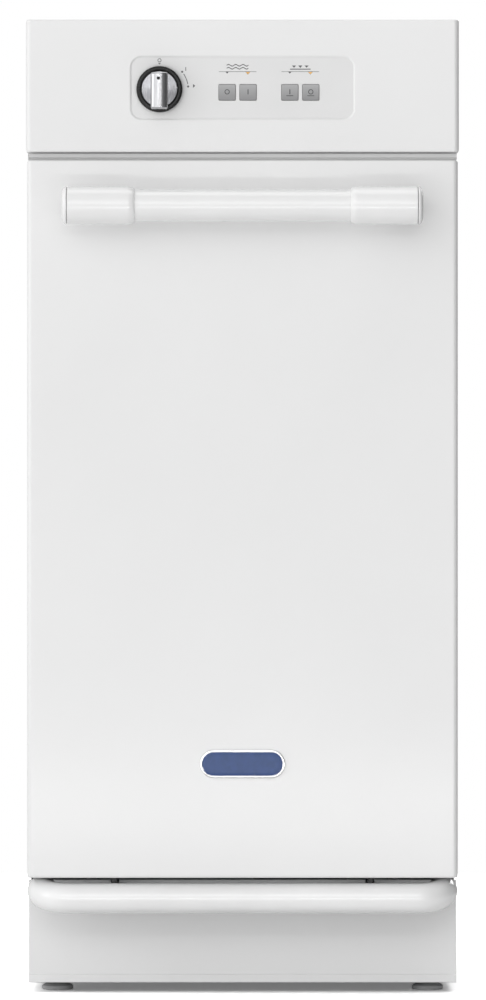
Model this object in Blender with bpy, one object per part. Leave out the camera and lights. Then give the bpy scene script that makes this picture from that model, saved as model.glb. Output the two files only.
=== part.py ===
"""A built-in trash compactor, 379 mm wide, as separate solids for Blender 4.5.

Metres, +Z up. The front faces -Y. The origin is on the floor, under the middle of the
machine's outer box. Every moving piece hangs from an empty that sits on its joint's axis.
"""

import math

import bmesh
import bpy
from mathutils import Matrix, Vector

# ---- Driving dimensions ----
WIDTH = 0.379  # over the console front, the widest piece
HEIGHT = 0.857  # floor to console top, with the levelling feet screwed in
DEPTH = 0.634  # handle front to rear panel
HANDLE_REACH = 0.059  # handle front to drawer face
FRONT_THICKNESS = 0.0235  # depth of the drawer front and console shells
SHEET = 0.0012  # painted cabinet sheet
PLATE = 0.002  # structural plate
GAP = 0.0003  # left between two pieces that meet
SIDES = 24  # facets of a visible round piece

FACE_Y = -DEPTH / 2 + HANDLE_REACH
REAR_Y = DEPTH / 2

# Cabinet
CABINET_WIDTH = WIDTH - 0.0035  # the console overhangs it a little
CABINET_TOP = HEIGHT - 0.002
CABINET_BOTTOM = 0.010
GASKET = 0.003  # gap behind the closed drawer front
CABINET_FRONT_Y = FACE_Y + FRONT_THICKNESS + GASKET
FLANGE = 0.014  # inward flange along the cabinet's front edges
SIDE_X = CABINET_WIDTH / 2
INNER_X = SIDE_X - SHEET - GAP
TOE_RECESS = 0.070
TOE_Y = FACE_Y + TOE_RECESS
TOE_WIDTH = WIDTH
TOE_BOTTOM = 0.0088

DRAWER_BOTTOM = 0.1056
TOE_TOP = DRAWER_BOTTOM - 0.0056

# Base, which carries the motor, screws, rails and feet
BASE_TOP = 0.070
BASE_BOTTOM = 0.012
BASE_FRONT_Y = TOE_Y + SHEET + GAP
BASE_REAR_Y = REAR_Y - SHEET - GAP

# Console
CONSOLE_HEIGHT = 0.1162
CONSOLE_BOTTOM = HEIGHT - CONSOLE_HEIGHT
CONSOLE_GAP = 0.0068  # between the console and the drawer front
EDGE_RADIUS = 0.0045  # rolled vertical edges of the two fronts
WINDOW_WIDTH = 0.194
WINDOW_HEIGHT = 0.0535
WINDOW_Z = HEIGHT - 0.060
WINDOW_RADIUS = 0.009
OVERLAY_RECESS = 0.0008
OVERLAY_THICKNESS = 0.002
OVERLAY_LIP = 0.005  # how far the overlay reaches behind the window's edge
OVERLAY_Y = FACE_Y + OVERLAY_RECESS
OVERLAY_BACK_Y = FACE_Y + SHEET + GAP + OVERLAY_THICKNESS

# Start knob
KNOB_X = -0.0726
KNOB_Z = WINDOW_Z - 0.0013
KNOB_RADIUS = 0.0202
KNOB_RIM = 0.0042  # width of the black rim round the metal face
KNOB_DEPTH = 0.0062
KNOB_SHAFT_RADIUS = 0.003
KNOB_SHAFT_LENGTH = 0.014
GRIP_WIDTH = 0.0148
GRIP_REACH = 0.012

# Push buttons and lamps
BUTTON_WIDTH = 0.0146
BUTTON_HEIGHT = 0.0140
BUTTON_Z = WINDOW_Z - 0.0038
BUTTON_PROUD = 0.0004
BUTTON_XS = {
    "filter_off_button": -0.0134,
    "filter_on_button": 0.0049,
    "power_on_button": 0.0415,
    "power_off_button": 0.0598,
}
LAMP_WIDTH = 0.004
LAMP_Z = WINDOW_Z + 0.0140
LAMP_XS = {"filter_lamp": 0.0048, "power_lamp": 0.0595}

# Drawer
DRAWER_WIDTH = WIDTH - 0.0019
DRAWER_TOP = CONSOLE_BOTTOM - CONSOLE_GAP
TUB_LENGTH = 0.430
TUB_BOTTOM = DRAWER_BOTTOM + 0.0144
TUB_TOP = 0.540
TUB_WALL = 0.0025
TUB_Y = FACE_Y + FRONT_THICKNESS + SHEET + 2 * GAP
RING_OVERHANG = 0.0055  # bag ring outside the tub wall
RING_LEDGE = 0.0065  # bag ring inside the tub wall
RING_HEIGHT = 0.012
RING_LIP = 0.003

# Handle
HANDLE_Z = DRAWER_TOP - 0.0418
HANDLE_RADIUS = 0.0139
SLEEVE_RADIUS = 0.0165
SLEEVE_OUTER_X = DRAWER_WIDTH / 2 - 0.0363
SLEEVE_LENGTH = 0.0586
SLEEVE_INNER_X = SLEEVE_OUTER_X - SLEEVE_LENGTH
HANDLE_CAP = 0.0045
HANDLE_Y = -DEPTH / 2 + SLEEVE_RADIUS
POST_LENGTH = 0.040
POST_HEIGHT = 1.4 * SLEEVE_RADIUS

# Badge, left blank
BADGE_WIDTH = 0.0746
BADGE_HEIGHT = 0.0245
BADGE_THICKNESS = 0.0018
BADGE_Z = DRAWER_BOTTOM + 0.0998

# Telescopic rails
RAIL_LENGTH = 0.450
RAIL_BOTTOM = TUB_BOTTOM + 0.0005
RAIL_HEIGHT = 0.044
RAIL_SHEET = 0.0013
RAIL_PLAY = 0.0006
RAIL_PACK = 0.0150  # tub wall to the fixed rail's outer face
RAIL_FOOT = 0.020  # the fixed rail's flange on the base

# Foot pedal
PEDAL_WIDTH = WIDTH - 0.0002
PEDAL_RADIUS = 0.0133
PEDAL_Z = DRAWER_BOTTOM - PEDAL_RADIUS - 0.0055
PEDAL_CORNER = 0.024  # radius of the bar's centre line at its ends
PEDAL_RETURN = 0.008  # straight stretch behind each corner
PEDAL_SLOPE = math.radians(12)  # the ends rise towards the rear
ARM_X = 0.113
ARM_THICKNESS = 0.0047
ARM_HUB_RADIUS = 0.0095
ARM_SWEEP = 0.0155  # how far the arms reach below their shaft as they pass the toe panel
SHAFT_RADIUS = 0.004
SHAFT_Y = TOE_Y + 0.020
SHAFT_Z = PEDAL_Z + 0.0032
SHAFT_HALF = ARM_X + 0.0045
EAR_THICKNESS = 0.003
EAR_X = ARM_X - 0.0130
SPRING_X = 0.040
SPRING_LENGTH = 0.030
SPRING_RADIUS = 0.0072
SPRING_WIRE = 0.0022

# Levelling feet
FOOT_X = SIDE_X - 0.02275
FOOT_FRONT_Y = TOE_Y + 0.038
FOOT_REAR_Y = REAR_Y - 0.032
FOOT_PAD_RADIUS = 0.014
FOOT_PAD_HEIGHT = 0.007
FOOT_STEM_RADIUS = 0.005
FOOT_STEM_TOP = BASE_TOP + 0.028
FOOT_BOSS_HEIGHT = 0.016

# Power screws, ram and its drive
SCREW_RADIUS = 0.010
SCREW_X = SIDE_X - 0.0315  # the chain passes between it and the side
SCREW_Y = TUB_Y + TUB_LENGTH / 2 + 0.0027
THREAD_BOTTOM = BASE_TOP + 0.010
JOURNAL_RADIUS = SCREW_RADIUS - 0.002
TOP_JOURNAL_RADIUS = SCREW_RADIUS - 0.003
BUSH_WALL = 0.0030
BUSH_FLANGE = 0.0060  # how far a bush's flange reaches past its bore
BUSH_DEPTH = 0.010  # reach below the base plate
SUPPORT_Z = CABINET_TOP - 0.016
SUPPORT_DEPTH = 0.060
THREAD_TOP = SUPPORT_Z - 0.0045
RUNNING = 0.0004  # radial clearance of a turning piece
TUB_WIDTH = 2 * (SCREW_X - SCREW_RADIUS - RAIL_PACK - 0.00675)
RAM_SIDE_CLEARANCE = 0.0165  # tub's outside to the ram
RAM_FRONT_CLEARANCE = 0.0327
RAM_REAR_CLEARANCE = 0.0253
RAM_WIDTH = TUB_WIDTH - 2 * RAM_SIDE_CLEARANCE
RAM_FRONT_Y = TUB_Y + RAM_FRONT_CLEARANCE
RAM_REAR_Y = TUB_Y + TUB_LENGTH - RAM_REAR_CLEARANCE
RAM_BOTTOM = TUB_TOP + 0.020
RAM_WALL = 0.0025
CROSSHEAD_HEIGHT = 0.020
CROSSHEAD_BOTTOM = THREAD_TOP - CROSSHEAD_HEIGHT - 0.002
CROSSHEAD_HALF = SCREW_X + 0.019
CROSSHEAD_DEPTH = 0.056
NUT_RADIUS = SCREW_RADIUS + 0.0055
NUT_HEIGHT = 0.026
SPROCKET_TEETH = 14
SPROCKET_TIP = 0.0186
SPROCKET_ROOT = 0.0150
SPROCKET_BOTTOM = BASE_TOP - 0.040
SCREW_BOTTOM = SPROCKET_BOTTOM - 0.0015
SPROCKET_THICKNESS = 0.0070
CHAIN_THICKNESS = 0.006
GEAR_X = 0.0
GEAR_Y = REAR_Y - 0.0875
GEAR_TEETH = 48
PINION_TEETH = 12
MODULE = 0.002
PRESSURE_ANGLE = math.radians(20)
ADDENDUM = 0.75 * MODULE
DEDENDUM = 1.0 * MODULE
BACKLASH = 0.00045
GEAR_BOTTOM = BASE_TOP - 0.027
GEAR_THICKNESS = 0.014
STUD_RADIUS = 0.005
MOTOR_X = 0.055
MOTOR_RADIUS = 0.045
MOTOR_HEIGHT = 0.098
PINION_SHAFT_RADIUS = 0.004

# Odour filter and its fan
FAN_Z = DRAWER_TOP - 0.026
FAN_SIZE = 0.096
FAN_DEPTH = 0.026
FAN_BORE = 0.0425
FAN_HUB = 0.016
FAN_BLADES = 7
FILTER_SIZE = 0.106
FILTER_DEPTH = 0.020

# Rear panel openings
SLOT_WIDTH = 0.080
SLOT_HEIGHT = 0.004
SLOT_PITCH = 0.0085
GLAND_X = -0.120
GLAND_Z = BASE_TOP + 0.030
GLAND_RADIUS = 0.009
GLAND_BORE = 0.0045


# ---- Materials ----
def material(name, colour, roughness, metallic=0.0):
    made = bpy.data.materials.new(name)
    made.use_nodes = True
    shader = made.node_tree.nodes["Principled BSDF"]
    shader.inputs["Base Color"].default_value = (*colour, 1.0)
    shader.inputs["Roughness"].default_value = roughness
    shader.inputs["Metallic"].default_value = metallic
    made.diffuse_color = (*colour, 1.0)
    return made


WHITE_ENAMEL = material("white_enamel", (0.80, 0.80, 0.80), 0.35)
WHITE_PLASTIC = material("white_plastic", (0.83, 0.83, 0.83), 0.30)
OVERLAY_PLASTIC = material("overlay_plastic", (0.74, 0.74, 0.74), 0.40)
GREY_BUTTON = material("grey_button", (0.33, 0.33, 0.33), 0.50)
AMBER_LENS = material("amber_lens", (0.85, 0.45, 0.06), 0.25)
BLACK_PLASTIC = material("black_plastic", (0.02, 0.02, 0.02), 0.35)
BLACK_STEEL = material("black_steel", (0.03, 0.03, 0.03), 0.45, 0.6)
SATIN_METAL = material("satin_metal", (0.62, 0.62, 0.62), 0.28, 1.0)
BADGE_ENAMEL = material("badge_enamel", (0.05, 0.10, 0.22), 0.25)
ZINC_STEEL = material("zinc_steel", (0.55, 0.56, 0.57), 0.40, 1.0)
TUB_PLASTIC = material("tub_plastic", (0.30, 0.31, 0.32), 0.50)
RAM_ENAMEL = material("ram_enamel", (0.12, 0.13, 0.14), 0.45)
NYLON = material("nylon", (0.75, 0.73, 0.66), 0.45)
MOTOR_PAINT = material("motor_paint", (0.06, 0.07, 0.08), 0.50)
RUBBER = material("rubber", (0.03, 0.03, 0.03), 0.80)
CHARCOAL = material("charcoal", (0.04, 0.04, 0.04), 0.90)


# ---- Shapes, all drawn where they stand in the machine ----
def box(low, high):
    bm = bmesh.new()
    bmesh.ops.create_cube(bm, size=1.0)
    low, high = Vector(low), Vector(high)
    bmesh.ops.scale(bm, vec=high - low, verts=bm.verts)
    bmesh.ops.translate(bm, vec=(low + high) / 2, verts=bm.verts)
    return bm


def lift(pair, axis, along):
    """A point from its two coordinates across an axis, in X, Y, Z order, and the one along it."""
    point = list(pair)
    point.insert("XYZ".index(axis), along)
    return Vector(point)


def prism(outline, axis, start, end):
    """A closed outline extruded along X, Y or Z."""
    bm = bmesh.new()
    first = bm.faces.new([bm.verts.new(lift(p, axis, start)) for p in outline])
    made = bmesh.ops.extrude_face_region(bm, geom=[first])
    moved = [v for v in made["geom"] if isinstance(v, bmesh.types.BMVert)]
    bmesh.ops.translate(bm, vec=lift((0, 0), axis, end - start), verts=moved)
    bmesh.ops.recalc_face_normals(bm, faces=bm.faces)
    return bm


def circle(centre, radius, sides=SIDES, turn=0.0):
    angles = [turn + 2 * math.pi * i / sides for i in range(sides)]
    return [(centre[0] + radius * math.cos(a), centre[1] + radius * math.sin(a)) for a in angles]


def rod(centre, radius, axis, start, end, sides=SIDES):
    return prism(circle(centre, radius, sides), axis, start, end)


def rounded_rectangle(centre, width, height, radius, steps=4):
    points = []
    for quarter, (sx, sy) in enumerate(((1, 1), (-1, 1), (-1, -1), (1, -1))):
        cx = centre[0] + sx * (width / 2 - radius)
        cy = centre[1] + sy * (height / 2 - radius)
        for i in range(steps + 1):
            a = math.pi / 2 * (quarter + i / steps)
            points.append((cx + radius * math.cos(a), cy + radius * math.sin(a)))
    return points


def lathe(profile, axis, centre, sides=SIDES):
    """A closed profile of (radius, place along the axis) turned about that axis."""
    bm = bmesh.new()
    rings = []
    for radius, along in profile:
        if radius == 0:
            rings.append([bm.verts.new(lift(centre, axis, along))] * sides)
        else:
            ring = circle(centre, radius, sides)
            rings.append([bm.verts.new(lift(p, axis, along)) for p in ring])
    for here, there in zip(rings, rings[1:] + rings[:1]):
        for i in range(sides):
            j = (i + 1) % sides
            corners = []
            for vert in (here[i], here[j], there[j], there[i]):
                if vert not in corners:
                    corners.append(vert)
            if len(corners) > 2:
                bm.faces.new(corners)
    bmesh.ops.recalc_face_normals(bm, faces=bm.faces)
    return bm


def swept_tube(name, points, radius, resolution):
    """A round bar along a line of points, from a curve with a bevel and filled caps."""
    curve = bpy.data.curves.new(name, "CURVE")
    curve.dimensions = "3D"
    curve.bevel_depth = radius
    curve.bevel_resolution = resolution
    curve.use_fill_caps = True
    spline = curve.splines.new("POLY")
    spline.points.add(len(points) - 1)
    for knot, point in zip(spline.points, points):
        knot.co = (*point, 1.0)
    guide = bpy.data.objects.new(name + "_guide", curve)
    bpy.context.scene.collection.objects.link(guide)
    bm = bmesh.new()
    bm.from_mesh(evaluated_mesh(guide))
    bpy.data.objects.remove(guide, do_unlink=True)
    bmesh.ops.remove_doubles(bm, verts=bm.verts, dist=1e-6)
    bmesh.ops.recalc_face_normals(bm, faces=bm.faces)
    return bm


# ---- Objects ----
def evaluated_mesh(obj):
    bpy.context.view_layer.update()
    graph = bpy.context.evaluated_depsgraph_get()
    return bpy.data.meshes.new_from_object(obj.evaluated_get(graph))


def piece(name, bm, look):
    mesh = bpy.data.meshes.new(name)
    bm.to_mesh(mesh)
    bm.free()
    obj = bpy.data.objects.new(name, mesh)
    bpy.context.scene.collection.objects.link(obj)
    mesh.materials.append(look)
    return obj


def combine(obj, bm, operation):
    """Joins a shape to a piece, or takes it away."""
    tool = piece(obj.name + "_tool", bm, obj.data.materials[0])
    step = obj.modifiers.new("step", "BOOLEAN")
    step.operation = operation
    step.solver = "EXACT"
    step.object = tool
    result = evaluated_mesh(obj)
    obj.modifiers.remove(step)
    obj.data = result
    bpy.data.objects.remove(tool, do_unlink=True)
    return obj


def cut(obj, *tools):
    for bm in tools:
        combine(obj, bm, "DIFFERENCE")
    return obj


def join(obj, *tools):
    for bm in tools:
        combine(obj, bm, "UNION")
    return obj


def smooth(obj, angle=35):
    obj.data.shade_smooth()
    obj.data.set_sharp_from_angle(angle=math.radians(angle))
    return obj


def joint_empty(name, place):
    empty = bpy.data.objects.new(name, None)
    bpy.context.scene.collection.objects.link(empty)
    empty.location = place
    return empty


def hang(obj, holder):
    """Gives a piece its origin on its joint's empty, which it then follows."""
    obj.data.transform(Matrix.Translation(-holder.location))
    obj.parent = holder
    return obj


def centred(x, y, z):
    """Low and high corners of a box from three pairs."""
    return (x[0], y[0], z[0]), (x[1], y[1], z[1])


def either_side(inner, outer, side):
    """The X range between two distances from the middle, on the side of the sign."""
    return tuple(sorted((side * inner, side * outer)))


def sided(name, side):
    return f"{name}_{'right' if side > 0 else 'left'}"


# ---- Cabinet ----
def side_panel(side):
    """A painted side with its toe notch and a flange turned in along the front edge."""
    rear = REAR_Y - SHEET - GAP
    top = CABINET_TOP - SHEET - GAP
    notch_y = TOE_Y + SHEET + GAP
    outline = [
        (CABINET_FRONT_Y, DRAWER_BOTTOM),
        (notch_y, DRAWER_BOTTOM),
        (notch_y, CABINET_BOTTOM),
        (rear, CABINET_BOTTOM),
        (rear, top),
        (CABINET_FRONT_Y, top),
    ]
    panel = piece(
        sided("side_panel", side),
        prism(outline, "X", *either_side(SIDE_X - SHEET, SIDE_X, side)),
        WHITE_ENAMEL,
    )
    flange = centred(
        either_side(SIDE_X - FLANGE, SIDE_X - SHEET / 2, side),
        (CABINET_FRONT_Y, CABINET_FRONT_Y + SHEET),
        (DRAWER_BOTTOM, top),
    )
    return join(panel, box(*flange))


def top_panel():
    """The lid, with a front flange that hooks down between the side flanges."""
    rear = REAR_Y - SHEET - GAP
    flange_x = SIDE_X - FLANGE - GAP
    lid = piece(
        "top_panel",
        box(
            (-SIDE_X, CABINET_FRONT_Y, CABINET_TOP - SHEET),
            (SIDE_X, rear, CABINET_TOP),
        ),
        WHITE_ENAMEL,
    )
    flange = box(
        (-flange_x, CABINET_FRONT_Y, CABINET_TOP - FLANGE),
        (flange_x, CABINET_FRONT_Y + SHEET, CABINET_TOP - SHEET / 2),
    )
    return join(lid, flange)


def slots(count, first_z):
    low_y, high_y = REAR_Y - 2 * SHEET, REAR_Y + SHEET
    for i in range(count):
        z = first_z + i * SLOT_PITCH
        outline = rounded_rectangle((0, z), SLOT_WIDTH, SLOT_HEIGHT, SLOT_HEIGHT / 2 - 1e-5, 2)
        yield prism(outline, "Y", low_y, high_y)


def rear_panel():
    panel = piece(
        "rear_panel",
        box((-SIDE_X, REAR_Y - SHEET, CABINET_BOTTOM), (SIDE_X, REAR_Y, CABINET_TOP)),
        ZINC_STEEL,
    )
    fan_slots = 9
    motor_slots = 7
    cut(panel, *slots(fan_slots, FAN_Z - SLOT_PITCH * (fan_slots - 1) / 2))
    cut(panel, *slots(motor_slots, BASE_TOP + 0.020))
    hole = rod((GLAND_X, GLAND_Z), GLAND_RADIUS, "Y", REAR_Y - 2 * SHEET, REAR_Y + SHEET)
    return cut(panel, hole)


def cord_gland():
    """The rubber bush that lines the mains lead's hole in the rear panel."""
    flange_y = REAR_Y - SHEET - GAP
    outer = GLAND_RADIUS - GAP
    profile = [
        (GLAND_BORE, flange_y - 0.002),
        (GLAND_RADIUS + 0.0025, flange_y - 0.002),
        (GLAND_RADIUS + 0.0025, flange_y),
        (outer, flange_y),
        (outer, REAR_Y),
        (GLAND_BORE, REAR_Y),
    ]
    return piece("cord_gland", lathe(profile, "Y", (GLAND_X, GLAND_Z)), RUBBER)


def front_rail():
    """The channel behind the gap over the drawer, with a folded nose that fills the gap."""
    depth, wall = 0.022, 0.0015
    nose_front, nose_back = FACE_Y + 0.006, CABINET_FRONT_Y - GAP
    nose_play = 0.0007
    nose_low, nose_high = DRAWER_TOP + nose_play, CONSOLE_BOTTOM - nose_play
    leaf_x = SIDE_X - FLANGE - GAP
    low_y = CABINET_FRONT_Y + SHEET + GAP
    low_z, high_z = DRAWER_TOP - 0.003, CONSOLE_BOTTOM + 0.008
    rail = piece(
        "front_rail",
        box((-INNER_X, low_y, low_z), (INNER_X, low_y + depth, high_z)),
        WHITE_ENAMEL,
    )
    hollow = box(
        (-SIDE_X, low_y + wall, low_z + wall),
        (SIDE_X, low_y + 2 * depth, high_z - wall),
    )
    nose = [
        (nose_front, nose_low),
        (nose_back, nose_low),
        (nose_back, nose_low + wall),
        (nose_front + wall, nose_low + wall),
        (nose_front + wall, nose_high),
        (nose_front, nose_high),
    ]
    leaf = box(
        (-leaf_x, nose_back - wall, nose_low),
        (leaf_x, low_y + wall / 2, nose_low + wall),
    )
    return join(cut(rail, hollow), prism(nose, "X", -SIDE_X, SIDE_X), leaf)


def toe_panel():
    """The kick plate, with its two slots for the pedal arms."""
    slot = ARM_THICKNESS + 0.003
    plate = piece(
        "toe_panel",
        box((-TOE_WIDTH / 2, TOE_Y, TOE_BOTTOM), (TOE_WIDTH / 2, TOE_Y + SHEET, TOE_TOP)),
        WHITE_ENAMEL,
    )
    for side in (-1, 1):
        x = side * ARM_X
        cut(
            plate,
            box(
                (x - slot / 2, TOE_Y - SHEET, SHAFT_Z - ARM_SWEEP),
                (x + slot / 2, TOE_Y + 2 * SHEET, TOE_TOP + SHEET),
            ),
        )
    return plate


# ---- Base ----
def foot_places():
    for side in (-1, 1):
        yield sided("foot_front", side), side * FOOT_X, FOOT_FRONT_Y
        yield sided("foot_rear", side), side * FOOT_X, FOOT_REAR_Y


def motor_place():
    reach = MODULE * (GEAR_TEETH + PINION_TEETH) / 2
    across = MOTOR_X - GEAR_X
    return MOTOR_X, GEAR_Y + math.sqrt(reach**2 - across**2)


def base_pan():
    """The pressed base: a plate with walls turned down, ears, bosses and the gear's stud."""
    base = piece(
        "base_pan",
        box((-INNER_X, BASE_FRONT_Y, BASE_BOTTOM), (INNER_X, BASE_REAR_Y, BASE_TOP)),
        ZINC_STEEL,
    )
    under = BASE_TOP - PLATE
    cut(
        base,
        box(
            (-INNER_X + PLATE, BASE_FRONT_Y + PLATE, BASE_BOTTOM - PLATE),
            (INNER_X - PLATE, BASE_REAR_Y - PLATE, under),
        ),
    )
    for _, x, y in foot_places():
        join(base, rod((x, y), 0.009, "Z", under - FOOT_BOSS_HEIGHT, under + PLATE / 2, 16))
        stem_hole = FOOT_STEM_RADIUS + RUNNING
        cut(base, rod((x, y), stem_hole, "Z", under - 2 * FOOT_BOSS_HEIGHT, BASE_TOP + PLATE, 16))
    for side in (-1, 1):
        seat = bush_bore() + BUSH_WALL + GAP
        centre = (side * SCREW_X, SCREW_Y)
        cut(base, rod(centre, seat, "Z", under - PLATE, BASE_TOP + PLATE))
        join(base, prism(ear_outline(), "X", *either_side(EAR_X, EAR_X + EAR_THICKNESS, side)))
        hole = rod(
            (SHAFT_Y, SHAFT_Z),
            SHAFT_RADIUS + GAP,
            "X",
            *either_side(EAR_X - EAR_THICKNESS, EAR_X + 2 * EAR_THICKNESS, side),
            sides=16,
        )
        cut(base, hole)
    stud = rod((GEAR_X, GEAR_Y), STUD_RADIUS, "Z", SPROCKET_BOTTOM - 0.003, BASE_TOP - PLATE / 2)
    join(base, stud)
    shaft_hole = PINION_SHAFT_RADIUS + 0.004
    cut(base, rod(motor_place(), shaft_hole, "Z", under - PLATE, BASE_TOP + PLATE))
    return base


def bush_bore():
    return JOURNAL_RADIUS + RUNNING


def screw_bush(side):
    """The flanged bush in the base that a power screw turns in and bears down on."""
    bore = bush_bore()
    seat = BASE_TOP + GAP
    profile = [
        (bore, BASE_TOP - PLATE - BUSH_DEPTH),
        (bore + BUSH_WALL, BASE_TOP - PLATE - BUSH_DEPTH),
        (bore + BUSH_WALL, seat),
        (bore + BUSH_FLANGE, seat),
        (bore + BUSH_FLANGE, THREAD_BOTTOM - GAP),
        (bore, THREAD_BOTTOM - GAP),
    ]
    shape = lathe(profile, "Z", (side * SCREW_X, SCREW_Y))
    return smooth(piece(sided("screw_bush", side), shape, NYLON))


def ear_outline():
    """One of the two ears that hold the pedal shaft."""
    half = ARM_HUB_RADIUS
    arc = [(SHAFT_Y + half * math.cos(a), SHAFT_Z + half * math.sin(a)) for a in half_turn(8)]
    return [(SHAFT_Y + half, BASE_TOP - PLATE / 2), *arc, (SHAFT_Y - half, BASE_TOP - PLATE / 2)]


def half_turn(steps):
    return [math.pi * i / steps for i in range(steps + 1)]


def levelling_foot(name, x, y):
    profile = [
        (0, 0),
        (FOOT_PAD_RADIUS, 0),
        (FOOT_PAD_RADIUS, FOOT_PAD_HEIGHT * 0.6),
        (FOOT_PAD_RADIUS * 0.6, FOOT_PAD_HEIGHT),
        (FOOT_STEM_RADIUS, FOOT_PAD_HEIGHT),
        (FOOT_STEM_RADIUS, FOOT_STEM_TOP),
        (0, FOOT_STEM_TOP),
    ]
    foot = smooth(piece(name, lathe(profile, "Z", (x, y), 16), ZINC_STEEL))
    return hang(foot, joint_empty(name + "_joint", (x, y, 0)))


# ---- Console ----
def front_shell(name, width, bottom, top, back):
    """A painted front, rolled round at its two vertical edges and open behind."""
    arc = [math.pi / 2 * i / 4 for i in range(5)]
    right = [
        (
            width / 2 - EDGE_RADIUS * (1 - math.cos(a)),
            FACE_Y + EDGE_RADIUS * (1 - math.sin(a)),
        )
        for a in arc
    ]
    left = [(-x, y) for x, y in reversed(right)]
    outline = [(width / 2, back), *right, *left, (-width / 2, back)]
    shell = piece(name, prism(outline, "Z", bottom, top), WHITE_ENAMEL)
    inset = EDGE_RADIUS * 0.45
    hollow = box(
        (-width / 2 + SHEET, FACE_Y + SHEET + inset, bottom + SHEET),
        (width / 2 - SHEET, back + SHEET, top - SHEET),
    )
    flat = box(
        (-width / 2 + EDGE_RADIUS, FACE_Y + SHEET, bottom + SHEET),
        (width / 2 - EDGE_RADIUS, FACE_Y + SHEET + 2 * inset, top - SHEET),
    )
    return smooth(cut(shell, hollow, flat))


def window_outline(grow):
    return rounded_rectangle(
        (0, WINDOW_Z),
        WINDOW_WIDTH + 2 * grow,
        WINDOW_HEIGHT + 2 * grow,
        WINDOW_RADIUS + grow,
    )


def console_front():
    shell = front_shell("console_front", WIDTH, CONSOLE_BOTTOM, HEIGHT, CABINET_FRONT_Y - GAP)
    return cut(shell, prism(window_outline(0), "Y", FACE_Y - SHEET, FACE_Y + 2 * SHEET))


def button_hole(x, grow):
    return rounded_rectangle(
        (x, BUTTON_Z),
        BUTTON_WIDTH + 2 * grow,
        BUTTON_HEIGHT + 2 * grow,
        0.0008 + grow,
        2,
    )


def lamp_outline(x, grow):
    """A small triangle that points down."""
    half = LAMP_WIDTH / 2 + 1.8 * grow
    point = LAMP_Z - LAMP_WIDTH / 2 - 1.4 * grow
    return [(x - half, LAMP_Z + grow), (x, point), (x + half, LAMP_Z + grow)]


def control_overlay():
    """The plastic insert in the console's window, which its lip holds from behind."""
    overlay = piece(
        "control_overlay",
        prism(window_outline(-GAP), "Y", OVERLAY_Y, OVERLAY_BACK_Y),
        OVERLAY_PLASTIC,
    )
    lip_y = FACE_Y + SHEET + GAP
    join(overlay, prism(window_outline(OVERLAY_LIP), "Y", lip_y, OVERLAY_BACK_Y))
    through = (OVERLAY_Y - SHEET, OVERLAY_BACK_Y + SHEET)
    for x in BUTTON_XS.values():
        cut(overlay, prism(button_hole(x, GAP), "Y", *through))
    for x in LAMP_XS.values():
        cut(overlay, prism(lamp_outline(x, GAP), "Y", *through))
    return cut(overlay, rod((KNOB_X, KNOB_Z), KNOB_SHAFT_RADIUS + 0.001, "Y", *through))


def switch_housing():
    """The box behind the overlay, with the rotary switch's body moulded in."""
    front = OVERLAY_BACK_Y + GAP
    back = FACE_Y + FRONT_THICKNESS
    wall = 0.0015
    half_x, half_z = WINDOW_WIDTH / 2 - 0.003, WINDOW_HEIGHT / 2 - 0.003
    housing = piece(
        "switch_housing",
        box((-half_x, front, WINDOW_Z - half_z), (half_x, back, WINDOW_Z + half_z)),
        BLACK_PLASTIC,
    )
    cut(
        housing,
        box(
            (-half_x + wall, front - wall, WINDOW_Z - half_z + wall),
            (half_x - wall, back - wall, WINDOW_Z + half_z - wall),
        ),
    )
    switch = rod((KNOB_X, KNOB_Z), 0.012, "Y", front + 0.003, back - wall / 2)
    shaft_end = OVERLAY_Y + KNOB_SHAFT_LENGTH
    bore = rod((KNOB_X, KNOB_Z), KNOB_SHAFT_RADIUS + RUNNING, "Y", front, shaft_end + GAP)
    return cut(join(housing, switch), bore)


def knob():
    """The black skirt with its shaft, and the metal face with its grip."""
    holder = joint_empty("knob_joint", (KNOB_X, OVERLAY_Y, KNOB_Z))
    back = OVERLAY_Y - 2 * GAP
    front = back - KNOB_DEPTH
    seat = front + 0.0032
    inner = KNOB_RADIUS - KNOB_RIM
    skirt_profile = [
        (0, seat),
        (inner, seat),
        (inner, front + 0.0006),
        (inner + 0.0012, front),
        (KNOB_RADIUS - 0.0014, front),
        (KNOB_RADIUS, front + 0.0014),
        (KNOB_RADIUS, back),
        (KNOB_SHAFT_RADIUS, back),
        (KNOB_SHAFT_RADIUS, OVERLAY_Y + KNOB_SHAFT_LENGTH),
        (0, OVERLAY_Y + KNOB_SHAFT_LENGTH),
    ]
    centre = (KNOB_X, KNOB_Z)
    skirt = smooth(piece("knob_skirt", lathe(skirt_profile, "Y", centre, 32), BLACK_PLASTIC))
    face = piece(
        "knob_grip",
        rod(centre, inner - GAP, "Y", front + 0.0004, seat - GAP, 32),
        SATIN_METAL,
    )
    low, high = -0.0180, 0.0143
    grip_centre = (KNOB_X, KNOB_Z + (low + high) / 2)
    grip = rounded_rectangle(grip_centre, GRIP_WIDTH, high - low, 0.0025, 3)
    join(face, prism(grip, "Y", front - GRIP_REACH, front - GAP))
    root = rounded_rectangle(
        (KNOB_X, KNOB_Z), GRIP_WIDTH, 2 * (inner - 0.0035), 0.0025, 3
    )
    join(face, prism(root, "Y", front - GAP - 0.002, seat - GAP - 0.0005))
    smooth(face)
    return hang(skirt, holder), hang(face, holder)


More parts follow.
